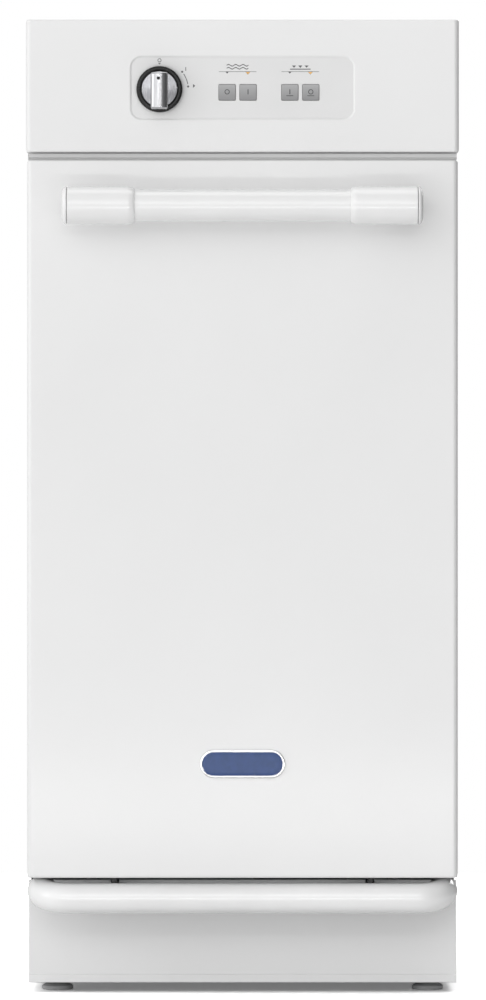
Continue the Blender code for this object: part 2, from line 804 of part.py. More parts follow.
def push_button(name, x):
    """A square cap with the flange that keeps it behind the overlay, and its plunger."""
    holder = joint_empty(name + "_joint", (x, OVERLAY_Y, BUTTON_Z))
    flange_y = OVERLAY_BACK_Y + GAP
    front = OVERLAY_Y - BUTTON_PROUD
    cap = piece(name, prism(button_hole(x, 0), "Y", front, flange_y + 0.001), GREY_BUTTON)
    join(cap, prism(button_hole(x, 0.0012), "Y", flange_y, flange_y + 0.0012))
    join(cap, rod((x, BUTTON_Z), 0.0025, "Y", flange_y + 0.0006, flange_y + 0.014, 12))
    return hang(cap, holder)


def lamp(name, x):
    front = OVERLAY_Y - 0.0001
    return piece(name, prism(lamp_outline(x, 0), "Y", front, OVERLAY_BACK_Y), AMBER_LENS)


# ---- Drawer ----
def tub_span():
    """The tub's front and rear, in Y."""
    return TUB_Y, TUB_Y + TUB_LENGTH


def drawer_pieces():
    inner_y = FACE_Y + FRONT_THICKNESS + GAP
    front_y, rear_y = tub_span()
    half = TUB_WIDTH / 2
    back = FACE_Y + FRONT_THICKNESS
    front = front_shell("drawer_front", DRAWER_WIDTH, DRAWER_BOTTOM, DRAWER_TOP, back)
    inner = piece(
        "drawer_inner_panel",
        box(
            (-DRAWER_WIDTH / 2 + SHEET, inner_y, DRAWER_BOTTOM + SHEET),
            (DRAWER_WIDTH / 2 - SHEET, inner_y + SHEET, DRAWER_TOP - SHEET),
        ),
        ZINC_STEEL,
    )
    tub = piece(
        "drawer_tub",
        box((-half, front_y, TUB_BOTTOM), (half, rear_y, TUB_TOP)),
        TUB_PLASTIC,
    )
    cut(
        tub,
        box(
            (-half + TUB_WALL, front_y + TUB_WALL, TUB_BOTTOM + TUB_WALL),
            (half - TUB_WALL, rear_y - TUB_WALL, TUB_TOP + TUB_WALL),
        ),
    )
    return front, inner, tub, bag_ring(front_y, rear_y, half)


def bag_ring(front_y, rear_y, half):
    """The frame that clips the bag over the tub's rim: a flat ring with a lip outside."""
    low, high = TUB_TOP + GAP, TUB_TOP + RING_HEIGHT
    front = front_y + GAP
    rear = rear_y + RING_OVERHANG
    ring = piece(
        "bag_ring",
        box(
            (-half - RING_OVERHANG, front, TUB_TOP - RING_LIP),
            (half + RING_OVERHANG, rear, high),
        ),
        BLACK_PLASTIC,
    )
    over_rim = box(
        (-half - GAP, front - PLATE, TUB_TOP - 2 * RING_LIP),
        (half + GAP, rear_y + GAP, low),
    )
    opening = box(
        (-half + RING_LEDGE, front + RING_LEDGE, TUB_TOP - 2 * RING_LIP),
        (half - RING_LEDGE, rear_y - RING_LEDGE, high + RING_LIP),
    )
    return cut(ring, over_rim, opening)


def badge():
    low = FACE_Y - BADGE_THICKNESS
    end = BADGE_HEIGHT / 2 - 1e-4
    outline = rounded_rectangle((0, BADGE_Z), BADGE_WIDTH, BADGE_HEIGHT, end, 6)
    return smooth(piece("badge", prism(outline, "Y", low, FACE_Y - GAP), BADGE_ENAMEL))


def handle_pieces():
    """The bar, the two sleeves whose posts stand on the drawer front, and the end caps."""
    centre = (HANDLE_Y, HANDLE_Z)
    socket = 0.012  # how far the bar reaches into each sleeve
    bar_half = SLEEVE_INNER_X + socket - GAP
    bar = rod(centre, HANDLE_RADIUS, "X", -bar_half, bar_half)
    made = [smooth(piece("handle_bar", bar, WHITE_PLASTIC))]
    bore = HANDLE_RADIUS + GAP
    for side in (-1, 1):
        profile = [
            (bore, side * SLEEVE_INNER_X),
            (SLEEVE_RADIUS - 0.0016, side * SLEEVE_INNER_X),
            (SLEEVE_RADIUS, side * (SLEEVE_INNER_X + 0.006)),
            (SLEEVE_RADIUS, side * SLEEVE_OUTER_X),
            (0, side * SLEEVE_OUTER_X),
            (0, side * (SLEEVE_INNER_X + socket)),
            (bore, side * (SLEEVE_INNER_X + socket)),
        ]
        sleeve = piece(sided("handle_sleeve", side), lathe(profile, "X", centre), WHITE_PLASTIC)
        post_x = side * (SLEEVE_OUTER_X - 0.006 - POST_LENGTH / 2)
        outline = rounded_rectangle((post_x, HANDLE_Z), POST_LENGTH, POST_HEIGHT, 0.008, 3)
        post_root = HANDLE_Y + HANDLE_RADIUS + 0.001
        join(sleeve, prism(outline, "Y", post_root, FACE_Y - GAP))
        made.append(smooth(sleeve))
        start = SLEEVE_OUTER_X + GAP
        dome = [
            (0, side * start),
            (SLEEVE_RADIUS, side * start),
            (SLEEVE_RADIUS, side * (start + HANDLE_CAP * 0.35)),
            (SLEEVE_RADIUS * 0.86, side * (start + HANDLE_CAP * 0.80)),
            (SLEEVE_RADIUS * 0.50, side * (start + HANDLE_CAP)),
            (0, side * (start + HANDLE_CAP)),
        ]
        cap = piece(sided("handle_cap", side), lathe(dome, "X", centre), WHITE_PLASTIC)
        made.append(smooth(cap))
    return made


# ---- Rails ----
def channel(side, web, lip, low, high, sheet):
    """A C-shaped section in X and Z: a web, and a lip at each end that reaches to lip."""
    step = math.copysign(sheet, lip - web)
    points = [
        (web, low),
        (lip, low),
        (lip, low + sheet),
        (web + step, low + sheet),
        (web + step, high - sheet),
        (lip, high - sheet),
        (lip, high),
        (web, high),
    ]
    return [(side * x, z) for x, z in points]


def rails(side):
    """A three-part telescopic rail: fixed on the base, floating, and fixed on the tub."""
    front_y, rear_y = tub_span()
    tub_face = TUB_WIDTH / 2 + GAP
    outer_web = tub_face + RAIL_PACK
    low, high = RAIL_BOTTOM, RAIL_BOTTOM + RAIL_HEIGHT
    outer_start = front_y + 0.008
    lip_x = tub_face + 0.0070
    outer = piece(
        sided("outer_rail", side),
        prism(
            channel(side, outer_web, lip_x, low, high, RAIL_SHEET),
            "Y",
            outer_start,
            outer_start + RAIL_LENGTH,
        ),
        ZINC_STEEL,
    )
    foot_start = SHAFT_Y + ARM_HUB_RADIUS + 0.004
    foot_z = BASE_TOP + GAP
    web_x = either_side(outer_web - RAIL_SHEET, outer_web, side)
    foot_x = either_side(outer_web - RAIL_FOOT, outer_web, side)
    rail_end = outer_start + RAIL_LENGTH
    join(
        outer,
        box(*centred(web_x, (foot_start, rail_end), (foot_z, low + RAIL_SHEET))),
        box(*centred(foot_x, (foot_start, rail_end), (foot_z, foot_z + RAIL_SHEET))),
    )
    step = RAIL_SHEET + RAIL_PLAY
    middle = piece(
        sided("middle_rail", side),
        prism(
            channel(side, outer_web - step, lip_x - 0.002, low + step, high - step, RAIL_SHEET),
            "Y",
            outer_start,
            outer_start + RAIL_LENGTH - 0.012,
        ),
        ZINC_STEEL,
    )
    inner_lip = outer_web - 2 * step
    inner = piece(
        sided("inner_rail", side),
        prism(
            channel(side, tub_face, inner_lip, low + 2 * step, high - 2 * step, RAIL_SHEET),
            "Y",
            front_y,
            rear_y,
        ),
        ZINC_STEEL,
    )
    return outer, middle, inner


# ---- Foot pedal ----
def pedal_line():
    """The bar's centre line: straight across the front, then round and back at each end."""
    y = FACE_Y + PEDAL_RADIUS
    end_x = PEDAL_WIDTH / 2 - PEDAL_RADIUS
    corner_steps = 6
    flat = [(end_x, PEDAL_CORNER + PEDAL_RETURN)]
    for i in range(corner_steps + 1):
        a = math.pi / 2 * i / corner_steps
        back = PEDAL_CORNER * (1 - math.sin(a))
        flat.append((end_x - PEDAL_CORNER * (1 - math.cos(a)), back))
    along, up = math.cos(PEDAL_SLOPE), math.sin(PEDAL_SLOPE)
    half = [(x, y + back * along, PEDAL_Z + back * up) for x, back in flat]
    return half + [(-x, py, pz) for x, py, pz in reversed(half)]


def pedal_arm_outline():
    """A steel lever from the shaft's hub to the back of the bar, with its latch hook."""
    bar_back = FACE_Y + 2 * PEDAL_RADIUS + GAP
    hook_y = bar_back + 0.001
    hook_top = DRAWER_BOTTOM - 0.0006
    r = ARM_HUB_RADIUS
    hub = [
        (SHAFT_Y + r * math.cos(a), SHAFT_Z + r * math.sin(a))
        for a in (math.pi * (i / 8 - 0.5) for i in range(9))
    ]
    return [
        (bar_back, PEDAL_Z - 0.006),
        *hub,
        (hook_y + 0.012, SHAFT_Z + r),
        (hook_y + 0.008, hook_top),
        (hook_y, hook_top),
        (bar_back, PEDAL_Z + 0.006),
    ]


def pedal_pieces():
    holder = joint_empty("pedal_joint", (0, SHAFT_Y, SHAFT_Z))
    tube = swept_tube("foot_pedal", pedal_line(), PEDAL_RADIUS, 4)
    hang(smooth(piece("foot_pedal", tube, WHITE_PLASTIC), 50), holder)
    for side in (-1, 1):
        span = either_side(ARM_X - ARM_THICKNESS / 2, ARM_X + ARM_THICKNESS / 2, side)
        arm = piece(sided("pedal_arm", side), prism(pedal_arm_outline(), "X", *span), BLACK_STEEL)
        past = either_side(ARM_X - ARM_THICKNESS, ARM_X + ARM_THICKNESS, side)
        cut(arm, rod((SHAFT_Y, SHAFT_Z), SHAFT_RADIUS + GAP, "X", *past, sides=16))
        hang(arm, holder)
    shaft = rod((SHAFT_Y, SHAFT_Z), SHAFT_RADIUS, "X", -SHAFT_HALF, SHAFT_HALF, 16)
    smooth(piece("pedal_shaft", shaft, ZINC_STEEL))
    return pedal_spring()


def pedal_spring():
    """The torsion spring's outer shape round the shaft, with the leg that bears on the base."""
    centre = (SHAFT_Y, SHAFT_Z)
    start, end = SPRING_X, SPRING_X + SPRING_LENGTH
    bore = SPRING_RADIUS - SPRING_WIRE
    coil = [(bore, start), (SPRING_RADIUS, start), (SPRING_RADIUS, end), (bore, end)]
    spring = piece("pedal_spring", lathe(coil, "X", centre, 16), ZINC_STEEL)
    leg = box(
        (end - SPRING_WIRE, SHAFT_Y + bore, BASE_TOP + GAP),
        (end, SHAFT_Y + SPRING_RADIUS, SHAFT_Z),
    )
    return smooth(join(spring, leg))


# ---- Ram and power screws ----
def top_support():
    """The channel under the lid that holds the screws' upper ends."""
    low_y, high_y = SCREW_Y - SUPPORT_DEPTH / 2, SCREW_Y + SUPPORT_DEPTH / 2
    top = CABINET_TOP - SHEET - GAP
    support = piece(
        "top_support",
        box((-INNER_X, low_y, SUPPORT_Z), (INNER_X, high_y, top)),
        ZINC_STEEL,
    )
    cut(
        support,
        box(
            (-SIDE_X, low_y + PLATE, SUPPORT_Z + PLATE),
            (SIDE_X, high_y - PLATE, top + PLATE),
        ),
    )
    for side in (-1, 1):
        bore = TOP_JOURNAL_RADIUS + RUNNING
        cut(support, rod((side * SCREW_X, SCREW_Y), bore, "Z", SUPPORT_Z - PLATE, top))
    return support


def sprocket_outline(centre):
    """Fourteen blunt teeth: up the flank, across the tip, and down to the next root."""
    points = []
    root, tip = 0.28, 0.12  # shares of a tooth's pitch, either side of its middle
    tooth_corners = (
        (-root, SPROCKET_ROOT),
        (-tip, SPROCKET_TIP),
        (tip, SPROCKET_TIP),
        (root, SPROCKET_ROOT),
    )
    pitch = 2 * math.pi / SPROCKET_TEETH
    for tooth in range(SPROCKET_TEETH):
        for share, radius in tooth_corners:
            a = pitch * (tooth + share)
            points.append((centre[0] + radius * math.cos(a), centre[1] + radius * math.sin(a)))
    return points


def power_screw(side):
    """A screw with its journals and the chain sprocket pinned on its lower end."""
    name = sided("power_screw", side)
    centre = (side * SCREW_X, SCREW_Y)
    profile = [
        (0, SCREW_BOTTOM),
        (JOURNAL_RADIUS, SCREW_BOTTOM),
        (JOURNAL_RADIUS, THREAD_BOTTOM),
        (SCREW_RADIUS, THREAD_BOTTOM),
        (SCREW_RADIUS, THREAD_TOP),
        (TOP_JOURNAL_RADIUS, THREAD_TOP),
        (TOP_JOURNAL_RADIUS, SUPPORT_Z + PLATE + 0.003),
        (0, SUPPORT_Z + PLATE + 0.003),
    ]
    screw = piece(name, lathe(profile, "Z", centre), ZINC_STEEL)
    teeth = prism(
        sprocket_outline(centre),
        "Z",
        SPROCKET_BOTTOM,
        SPROCKET_BOTTOM + SPROCKET_THICKNESS,
    )
    return hang(smooth(join(screw, teeth)), joint_empty(name + "_joint", (*centre, 0)))


def ram_pieces():
    """The open-topped ram, the crosshead across it and the two nuts that the screws drive."""
    holder = joint_empty("ram_joint", (0, SCREW_Y, CROSSHEAD_BOTTOM))
    half = RAM_WIDTH / 2
    head = piece(
        "ram_head",
        box((-half, RAM_FRONT_Y, RAM_BOTTOM), (half, RAM_REAR_Y, CROSSHEAD_BOTTOM - GAP)),
        RAM_ENAMEL,
    )
    cut(
        head,
        box(
            (-half + RAM_WALL, RAM_FRONT_Y + RAM_WALL, RAM_BOTTOM + RAM_WALL),
            (half - RAM_WALL, RAM_REAR_Y - RAM_WALL, CROSSHEAD_BOTTOM + RAM_WALL),
        ),
    )
    low_y, high_y = SCREW_Y - CROSSHEAD_DEPTH / 2, SCREW_Y + CROSSHEAD_DEPTH / 2
    top = CROSSHEAD_BOTTOM + CROSSHEAD_HEIGHT
    wall = 0.004
    beam = piece(
        "ram_crosshead",
        box((-CROSSHEAD_HALF, low_y, CROSSHEAD_BOTTOM), (CROSSHEAD_HALF, high_y, top)),
        RAM_ENAMEL,
    )
    cut(
        beam,
        box(
            (-CROSSHEAD_HALF - wall, low_y + wall, CROSSHEAD_BOTTOM + wall),
            (CROSSHEAD_HALF + wall, high_y - wall, top + wall),
        ),
    )
    for side in (-1, 1):
        centre = (side * SCREW_X, SCREW_Y)
        cut(beam, rod(centre, SCREW_RADIUS + 0.002, "Z", CROSSHEAD_BOTTOM - wall, top))
        bore = SCREW_RADIUS + RUNNING
        nut_top = CROSSHEAD_BOTTOM - GAP
        profile = [
            (bore, nut_top - NUT_HEIGHT),
            (NUT_RADIUS - 0.003, nut_top - NUT_HEIGHT),
            (NUT_RADIUS - 0.003, nut_top - 0.007),
            (NUT_RADIUS, nut_top - 0.007),
            (NUT_RADIUS, nut_top),
            (bore, nut_top),
        ]
        nut = piece(sided("ram_nut", side), lathe(profile, "Z", centre), NYLON)
        hang(smooth(nut), holder)
    return hang(head, holder), hang(beam, holder)


# ---- Drive under the base ----
def involute(angle):
    return math.tan(angle) - angle


def gear_outline(centre, teeth, phase):
    """A spur gear's outline, with a tooth pointing at the phase angle."""
    pitch_radius = MODULE * teeth / 2
    base_radius = pitch_radius * math.cos(PRESSURE_ANGLE)
    root = pitch_radius - DEDENDUM
    tip = pitch_radius + ADDENDUM
    half_at_pitch = math.pi / (2 * teeth) - BACKLASH / (2 * pitch_radius)
    start = max(base_radius, root)
    flank = []
    steps = 3
    for i in range(steps):
        radius = start + (tip - start) * i / (steps - 1)
        roll = math.acos(min(1.0, base_radius / radius))
        flank.append((radius, half_at_pitch + involute(PRESSURE_ANGLE) - involute(roll)))
    if root < start:
        flank.insert(0, (root, flank[0][1]))
    points = []
    for tooth in range(teeth):
        middle = phase + 2 * math.pi * tooth / teeth
        polar = [(r, middle - half) for r, half in flank]
        polar += [(r, middle + half) for r, half in reversed(flank)]
        points += [(centre[0] + r * math.cos(a), centre[1] + r * math.sin(a)) for r, a in polar]
    return points


def drive_gears():
    """The large gear with its sprocket on the base's stud, and the motor's pinion."""
    gear_centre = (GEAR_X, GEAR_Y)
    motor_x, motor_y = motor_place()
    towards = math.atan2(motor_y - GEAR_Y, motor_x - GEAR_X)
    gear = piece(
        "drive_gear",
        prism(
            gear_outline(gear_centre, GEAR_TEETH, towards),
            "Z",
            GEAR_BOTTOM,
            GEAR_BOTTOM + GEAR_THICKNESS,
        ),
        NYLON,
    )
    sprocket_top = SPROCKET_BOTTOM + SPROCKET_THICKNESS
    join(
        gear,
        rod(gear_centre, 0.0125, "Z", sprocket_top - 0.001, GEAR_BOTTOM + 0.001),
        prism(sprocket_outline(gear_centre), "Z", SPROCKET_BOTTOM, sprocket_top),
        rod(gear_centre, 0.0125, "Z", GEAR_BOTTOM + 0.001, BASE_TOP - PLATE - GAP),
    )
    cut(gear, rod(gear_centre, STUD_RADIUS + RUNNING, "Z", SPROCKET_BOTTOM - 0.005, BASE_TOP))
    hang(gear, joint_empty("drive_gear_joint", (*gear_centre, 0)))

    phase = towards + math.pi + math.pi / PINION_TEETH
    pinion = piece(
        "motor_pinion",
        prism(
            gear_outline((motor_x, motor_y), PINION_TEETH, phase),
            "Z",
            GEAR_BOTTOM - 0.001,
            GEAR_BOTTOM + GEAR_THICKNESS + 0.001,
        ),
        ZINC_STEEL,
    )
    shaft_top = BASE_TOP + 0.016
    join(pinion, rod((motor_x, motor_y), PINION_SHAFT_RADIUS, "Z", GEAR_BOTTOM, shaft_top, 16))
    return hang(pinion, joint_empty("motor_pinion_joint", (motor_x, motor_y, 0)))


def drive_motor():
    """The motor's can and end bell on the base, bored for its shaft, with a terminal box."""
    centre = motor_place()
    low = BASE_TOP + GAP
    top = low + MOTOR_HEIGHT
    bore = PINION_SHAFT_RADIUS + RUNNING
    bore_top = BASE_TOP + 0.016 + GAP
    profile = [
        (bore, low),
        (MOTOR_RADIUS, low),
        (MOTOR_RADIUS, top - 0.018),
        (MOTOR_RADIUS - 0.005, top - 0.006),
        (MOTOR_RADIUS - 0.016, top),
        (0, top),
        (0, bore_top),
        (bore, bore_top),
    ]
    motor = smooth(piece("drive_motor", lathe(profile, "Z", centre), MOTOR_PAINT))
    box_x = centre[0] + MOTOR_RADIUS - 0.006
    terminals = box(
        (box_x, centre[1] - 0.016, low + 0.015),
        (box_x + 0.028, centre[1] + 0.016, low + 0.060),
    )
    return join(motor, terminals)


def belt_line(centres, radius, steps=6):
    """The loop round equal circles whose centres run anticlockwise."""
    points = []
    count = len(centres)
    for i, centre in enumerate(centres):
        before, after = centres[i - 1], centres[(i + 1) % count]
        start = math.atan2(centre[1] - before[1], centre[0] - before[0]) - math.pi / 2
        end = math.atan2(after[1] - centre[1], after[0] - centre[0]) - math.pi / 2
        turn = (end - start) % (2 * math.pi)
        for step in range(steps + 1):
            a = start + turn * step / steps
            points.append((centre[0] + radius * math.cos(a), centre[1] + radius * math.sin(a)))
    return points


def drive_chain():
    """The chain's outer shape, one closed band round the three sprockets."""
    centres = [(-SCREW_X, SCREW_Y), (SCREW_X, SCREW_Y), (GEAR_X, GEAR_Y)]
    inner = (SPROCKET_TIP + RUNNING) / math.cos(math.radians(12))
    low = SPROCKET_BOTTOM + 0.0005
    high = SPROCKET_BOTTOM + SPROCKET_THICKNESS - 0.0005
    band = prism(belt_line(centres, inner + CHAIN_THICKNESS), "Z", low, high)
    chain = piece("drive_chain", band, BLACK_STEEL)
    return cut(chain, prism(belt_line(centres, inner), "Z", low - 0.001, high + 0.001))


# ---- Odour filter ----
def fan_frame():
    """A square fan frame on the rear panel, with a spider that carries the hub."""
    back = REAR_Y - SHEET - GAP
    front = back - FAN_DEPTH
    strut = 0.004
    half = FAN_SIZE / 2
    frame = piece(
        "fan_frame",
        prism(rounded_rectangle((0, FAN_Z), FAN_SIZE, FAN_SIZE, 0.005, 2), "Y", front, back),
        BLACK_PLASTIC,
    )
    cut(frame, rod((0, FAN_Z), FAN_BORE, "Y", front - strut, back + strut, 32))
    span = FAN_BORE + 0.002
    join(frame, box((-span, back - strut, FAN_Z - 0.003), (span, back, FAN_Z + 0.003)))
    join(frame, box((-0.003, back - strut, FAN_Z - span), (0.003, back, FAN_Z + span)))
    join(frame, rod((0, FAN_Z), FAN_HUB, "Y", back - strut, back))
    screw_at = half - 0.006
    for x in (-screw_at, screw_at):
        for z in (FAN_Z - screw_at, FAN_Z + screw_at):
            cut(frame, rod((x, z), 0.0022, "Y", front - strut, back + strut, 12))
    return frame


def fan_rotor():
    """A hub with seven twisted blades, which turns in front of the spider."""
    back = REAR_Y - SHEET - GAP - 0.004 - GAP
    front = back - 0.0185
    centre = Vector((0, (front + back) / 2, FAN_Z))
    rotor = piece("fan_rotor", rod((0, FAN_Z), FAN_HUB, "Y", front, back), BLACK_PLASTIC)
    reach = FAN_BORE - 0.0015
    blade_depth = 0.011
    pitch_angle = math.radians(38)
    for i in range(FAN_BLADES):
        blade = box(
            (FAN_HUB - 0.002, -blade_depth, -0.0008),
            (reach - 0.001, blade_depth, 0.0008),
        )
        twist = Matrix.Rotation(pitch_angle, 4, "X")
        turn = Matrix.Rotation(2 * math.pi * i / FAN_BLADES, 4, "Y")
        place = Matrix.Translation(centre) @ turn @ twist
        bmesh.ops.transform(blade, matrix=place, verts=blade.verts)
        join(rotor, blade)
    return hang(rotor, joint_empty("fan_joint", centre))


def charcoal_filter():
    back = REAR_Y - SHEET - GAP - FAN_DEPTH - GAP
    outline = rounded_rectangle((0, FAN_Z), FILTER_SIZE, FILTER_SIZE, 0.004, 2)
    return piece("charcoal_filter", prism(outline, "Y", back - FILTER_DEPTH, back), CHARCOAL)


# ---- The whole machine ----
def build():
    for side in (-1, 1):
        side_panel(side)
        power_screw(side)
        screw_bush(side)
        outer, middle, inner = rails(side)
        place = (side * TUB_WIDTH / 2, FACE_Y, RAIL_BOTTOM)
        hang(middle, joint_empty(middle.name + "_joint", place))
        hang(inner, drawer_joint)
    top_panel()
    rear_panel()
    cord_gland()
    front_rail()
    toe_panel()
    base_pan()
    top_support()
    for name, x, y in foot_places():
        levelling_foot(name, x, y)
    console_front()
    control_overlay()
    switch_housing()
    knob()
    for name, x in BUTTON_XS.items():
        push_button(name, x)
    for name, x in LAMP_XS.items():
        lamp(name, x)
    for moving in (*drawer_pieces(), *handle_pieces(), badge()):
        hang(moving, drawer_joint)
    pedal_pieces()
    ram_pieces()
    drive_gears()
    drive_motor()
    drive_chain()
    fan_frame()
    fan_rotor()
    charcoal_filter()


for leftover in list(bpy.data.objects):
    bpy.data.objects.remove(leftover, do_unlink=True)
drawer_joint = joint_empty("drawer_joint", (0, FACE_Y, DRAWER_BOTTOM))
build()
bpy.context.view_layer.update()
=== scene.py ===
"""Looks of a built-in trash compactor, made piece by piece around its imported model.

Metres, +Z up, front towards -Y. Each section below is one piece, or a group of like pieces,
in the order in which the machine is put together from the front backwards.
"""

import math

import bmesh
import bpy
from mathutils import Matrix, Vector


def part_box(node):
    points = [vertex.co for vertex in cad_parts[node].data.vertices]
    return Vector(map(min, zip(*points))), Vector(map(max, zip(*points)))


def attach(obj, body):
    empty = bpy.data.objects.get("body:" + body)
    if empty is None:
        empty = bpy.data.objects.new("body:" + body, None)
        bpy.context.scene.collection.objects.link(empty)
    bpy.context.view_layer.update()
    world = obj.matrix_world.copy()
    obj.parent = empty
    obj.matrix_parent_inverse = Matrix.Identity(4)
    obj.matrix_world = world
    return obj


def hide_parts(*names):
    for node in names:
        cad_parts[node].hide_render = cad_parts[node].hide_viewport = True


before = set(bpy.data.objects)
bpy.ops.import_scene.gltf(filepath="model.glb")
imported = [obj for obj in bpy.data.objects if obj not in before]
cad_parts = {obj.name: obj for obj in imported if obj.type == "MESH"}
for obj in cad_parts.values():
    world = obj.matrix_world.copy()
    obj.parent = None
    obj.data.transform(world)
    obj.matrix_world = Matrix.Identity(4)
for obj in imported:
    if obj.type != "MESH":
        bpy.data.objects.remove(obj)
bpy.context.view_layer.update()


# ---- Studio ----
# A product sweep: a pale floor, soft boxes in front, on the left, above and behind, a low one
# for the pedal, and a strip that draws a line of light along the round pieces. The white
# surround falls off to the right, so that round and metal pieces show form.
def linear(code):
    """An sRGB hex colour as linear RGBA."""
    parts = [int(code[i : i + 2], 16) / 255 for i in (1, 3, 5)]
    return (*[p / 12.92 if p <= 0.04045 else ((p + 0.055) / 1.055) ** 2.4 for p in parts], 1)


def add(tree, kind, inputs, **settings):
    """Adds a node with its settings; an input is a value, or the node or socket that feeds it."""
    node = tree.nodes.new(kind)
    for name, value in settings.items():
        setattr(node, name, value)
    for name, value in inputs.items():
        if isinstance(value, bpy.types.Node):
            value = value.outputs[0]
        if isinstance(value, bpy.types.NodeSocket):
            tree.links.new(value, node.inputs[name])
        else:
            node.inputs[name].default_value = value
    return node


def coloured(tree, fac, stops):
    """A colour ramp through (place, sRGB hex) stops."""
    ramp = add(tree, "ShaderNodeValToRGB", {"Fac": fac})
    while len(ramp.color_ramp.elements) < len(stops):
        ramp.color_ramp.elements.new(1.0)
    for element, (place, code) in zip(ramp.color_ramp.elements, stops):
        element.position = place
        element.color = linear(code)
    return ramp


eye = bpy.data.objects.new("camera", bpy.data.cameras.new("camera"))
bpy.context.scene.collection.objects.link(eye)
eye.location = (0.0005, -5.758, 0.4364)
eye.rotation_euler = (math.pi / 2, 0, 0)
eye.data.sensor_fit = "VERTICAL"
eye.data.sensor_height = 36.0
eye.data.lens = 226.25
eye.data.clip_end = 60.0
bpy.context.scene.camera = eye
bpy.context.scene.view_settings.view_transform = "Standard"

soft_boxes = {
    "soft_box_front": ((-0.4, -3.9, 2.0), (0, -0.25, 0.5), 2.8, 1.0, 11.0),
    "soft_box_low": ((0, -2.6, 0.055), (0, -0.2, 0.08), 2.2, 0.09, 7.0),
    "strip_light": ((0, -3.0, 1.15), (0, -0.25, 0.3), 1.7, 0.06, 3.0),
    "soft_box_left": ((-3.2, -1.6, 1.2), (0, -0.1, 0.45), 1.4, 2.0, 14.0),
    "soft_box_top": ((0.3, 0.4, 3.4), (0, 0.1, 0.0), 2.6, 2.6, 32.0),
    "soft_box_rear": ((1.6, 3.4, 2.2), (0, 0.2, 0.45), 2.2, 1.8, 38.0),
}
for name, (place, target, across, tall, watts) in soft_boxes.items():
    lamp = bpy.data.objects.new(name, bpy.data.lights.new(name, "AREA"))
    bpy.context.scene.collection.objects.link(lamp)
    lamp.location = place
    lamp.rotation_euler = (Vector(target) - Vector(place)).to_track_quat("-Z", "Y").to_euler()
    lamp.data.shape = "RECTANGLE"
    lamp.data.size = across
    lamp.data.size_y = tall
    lamp.data.energy = watts

surround = bpy.data.worlds.new("studio_surround")
bpy.context.scene.world = surround
surround.use_nodes = True
sky = surround.node_tree
sky.nodes.clear()
ways = add(sky, "ShaderNodeSeparateXYZ", {0: add(sky, "ShaderNodeTexCoord", {}).outputs["Generated"]})
sideways = add(sky, "ShaderNodeMapRange", {0: ways.outputs["X"], 1: -0.6, 2: 0.6, 3: 1.60, 4: 0.22})
upwards = add(sky, "ShaderNodeMapRange", {0: ways.outputs["Z"], 1: -0.5, 2: 0.3, 3: 0.40, 4: 0.48})
frontal = add(sky, "ShaderNodeMapRange", {0: ways.outputs["Y"], 1: -1.0, 2: -0.4, 3: 0.64, 4: 0.0})
around = add(sky, "ShaderNodeMath", {0: upwards, 1: frontal}, operation="ADD")
glow = add(sky, "ShaderNodeMath", {0: sideways, 1: around}, operation="MULTIPLY")
seen = add(sky, "ShaderNodeBackground", {"Color": (1, 1, 1, 1), "Strength": 1.0})
ambient = add(sky, "ShaderNodeBackground", {"Color": (1, 1, 1, 1), "Strength": glow})
by_ray = add(sky, "ShaderNodeLightPath", {})
mixed = add(sky, "ShaderNodeMixShader", {0: by_ray.outputs["Is Camera Ray"], 1: ambient, 2: seen})
add(sky, "ShaderNodeOutputWorld", {"Surface": mixed})

floor_mesh = bpy.data.meshes.new("floor")
floor_bm = bmesh.new()
bmesh.ops.create_circle(floor_bm, cap_ends=True, segments=96, radius=1.6)
floor_bm.to_mesh(floor_mesh)
floor_bm.free()
floor = bpy.data.objects.new("floor", floor_mesh)
bpy.context.scene.collection.objects.link(floor)
paper = bpy.data.materials.new("white_backdrop_paper")
paper.use_nodes = True
sheet = paper.node_tree
sheet.nodes.clear()
fibre = add(sheet, "ShaderNodeTexNoise", {"Scale": 60.0, "Detail": 3.0})
paper_tone = coloured(sheet, fibre.outputs["Fac"], [(0.3, "#fafafa"), (0.7, "#ffffff")])
lit = add(sheet, "ShaderNodeBsdfDiffuse", {"Color": paper_tone.outputs[0]})
twice = add(sheet, "ShaderNodeAddShader", {0: lit, 1: lit})
haze = add(sheet, "ShaderNodeEmission", {"Strength": 0.14})
bleached = add(sheet, "ShaderNodeAddShader", {0: twice, 1: haze})
dim = add(sheet, "ShaderNodeBsdfDiffuse", {"Color": linear("#ececec")})
which = add(sheet, "ShaderNodeLightPath", {}).outputs["Is Camera Ray"]
both = add(sheet, "ShaderNodeMixShader", {0: which, 1: dim, 2: bleached})
add(sheet, "ShaderNodeOutputMaterial", {"Surface": both})
floor_mesh.materials.append(paper)


# ---- Console front ----
# Sheet steel, pressed with rolled edges and a window for the control panel, then coated in
# baked white enamel. Its returns hook over the cabinet's front edge.
def rounded(centre, width, height, radius, steps=10):
    """Points round a rectangle with round corners, anticlockwise."""
    points = []
    for turn, (sx, sz) in enumerate(((1, 1), (-1, 1), (-1, -1), (1, -1))):
        cx = centre[0] + sx * (width / 2 - radius)
        cz = centre[1] + sz * (height / 2 - radius)
        for step in range(steps + 1):
            a = math.pi / 2 * (turn + step / steps)
            points.append((cx + radius * math.cos(a), cz + radius * math.sin(a)))
    return points


def circle(centre, radius, steps=72):
    turns = [2 * math.pi * i / steps for i in range(steps)]
    return [(centre[0] + radius * math.cos(a), centre[1] + radius * math.sin(a)) for a in turns]


def placed(axis, across, level):
    """A point from its two sizes across the axis and its level along it."""
    a, b = across
    return {"X": (level, a, b), "Y": (a, level, b), "Z": (a, b, level)}[axis]


def bridge(bm, pairs):
    """Faces between the two rings of vertices in each pair."""
    for low, high in pairs:
        for i, start in enumerate(low):
            j = (i + 1) % len(low)
            bm.faces.new((start, low[j], high[j], high[i]))


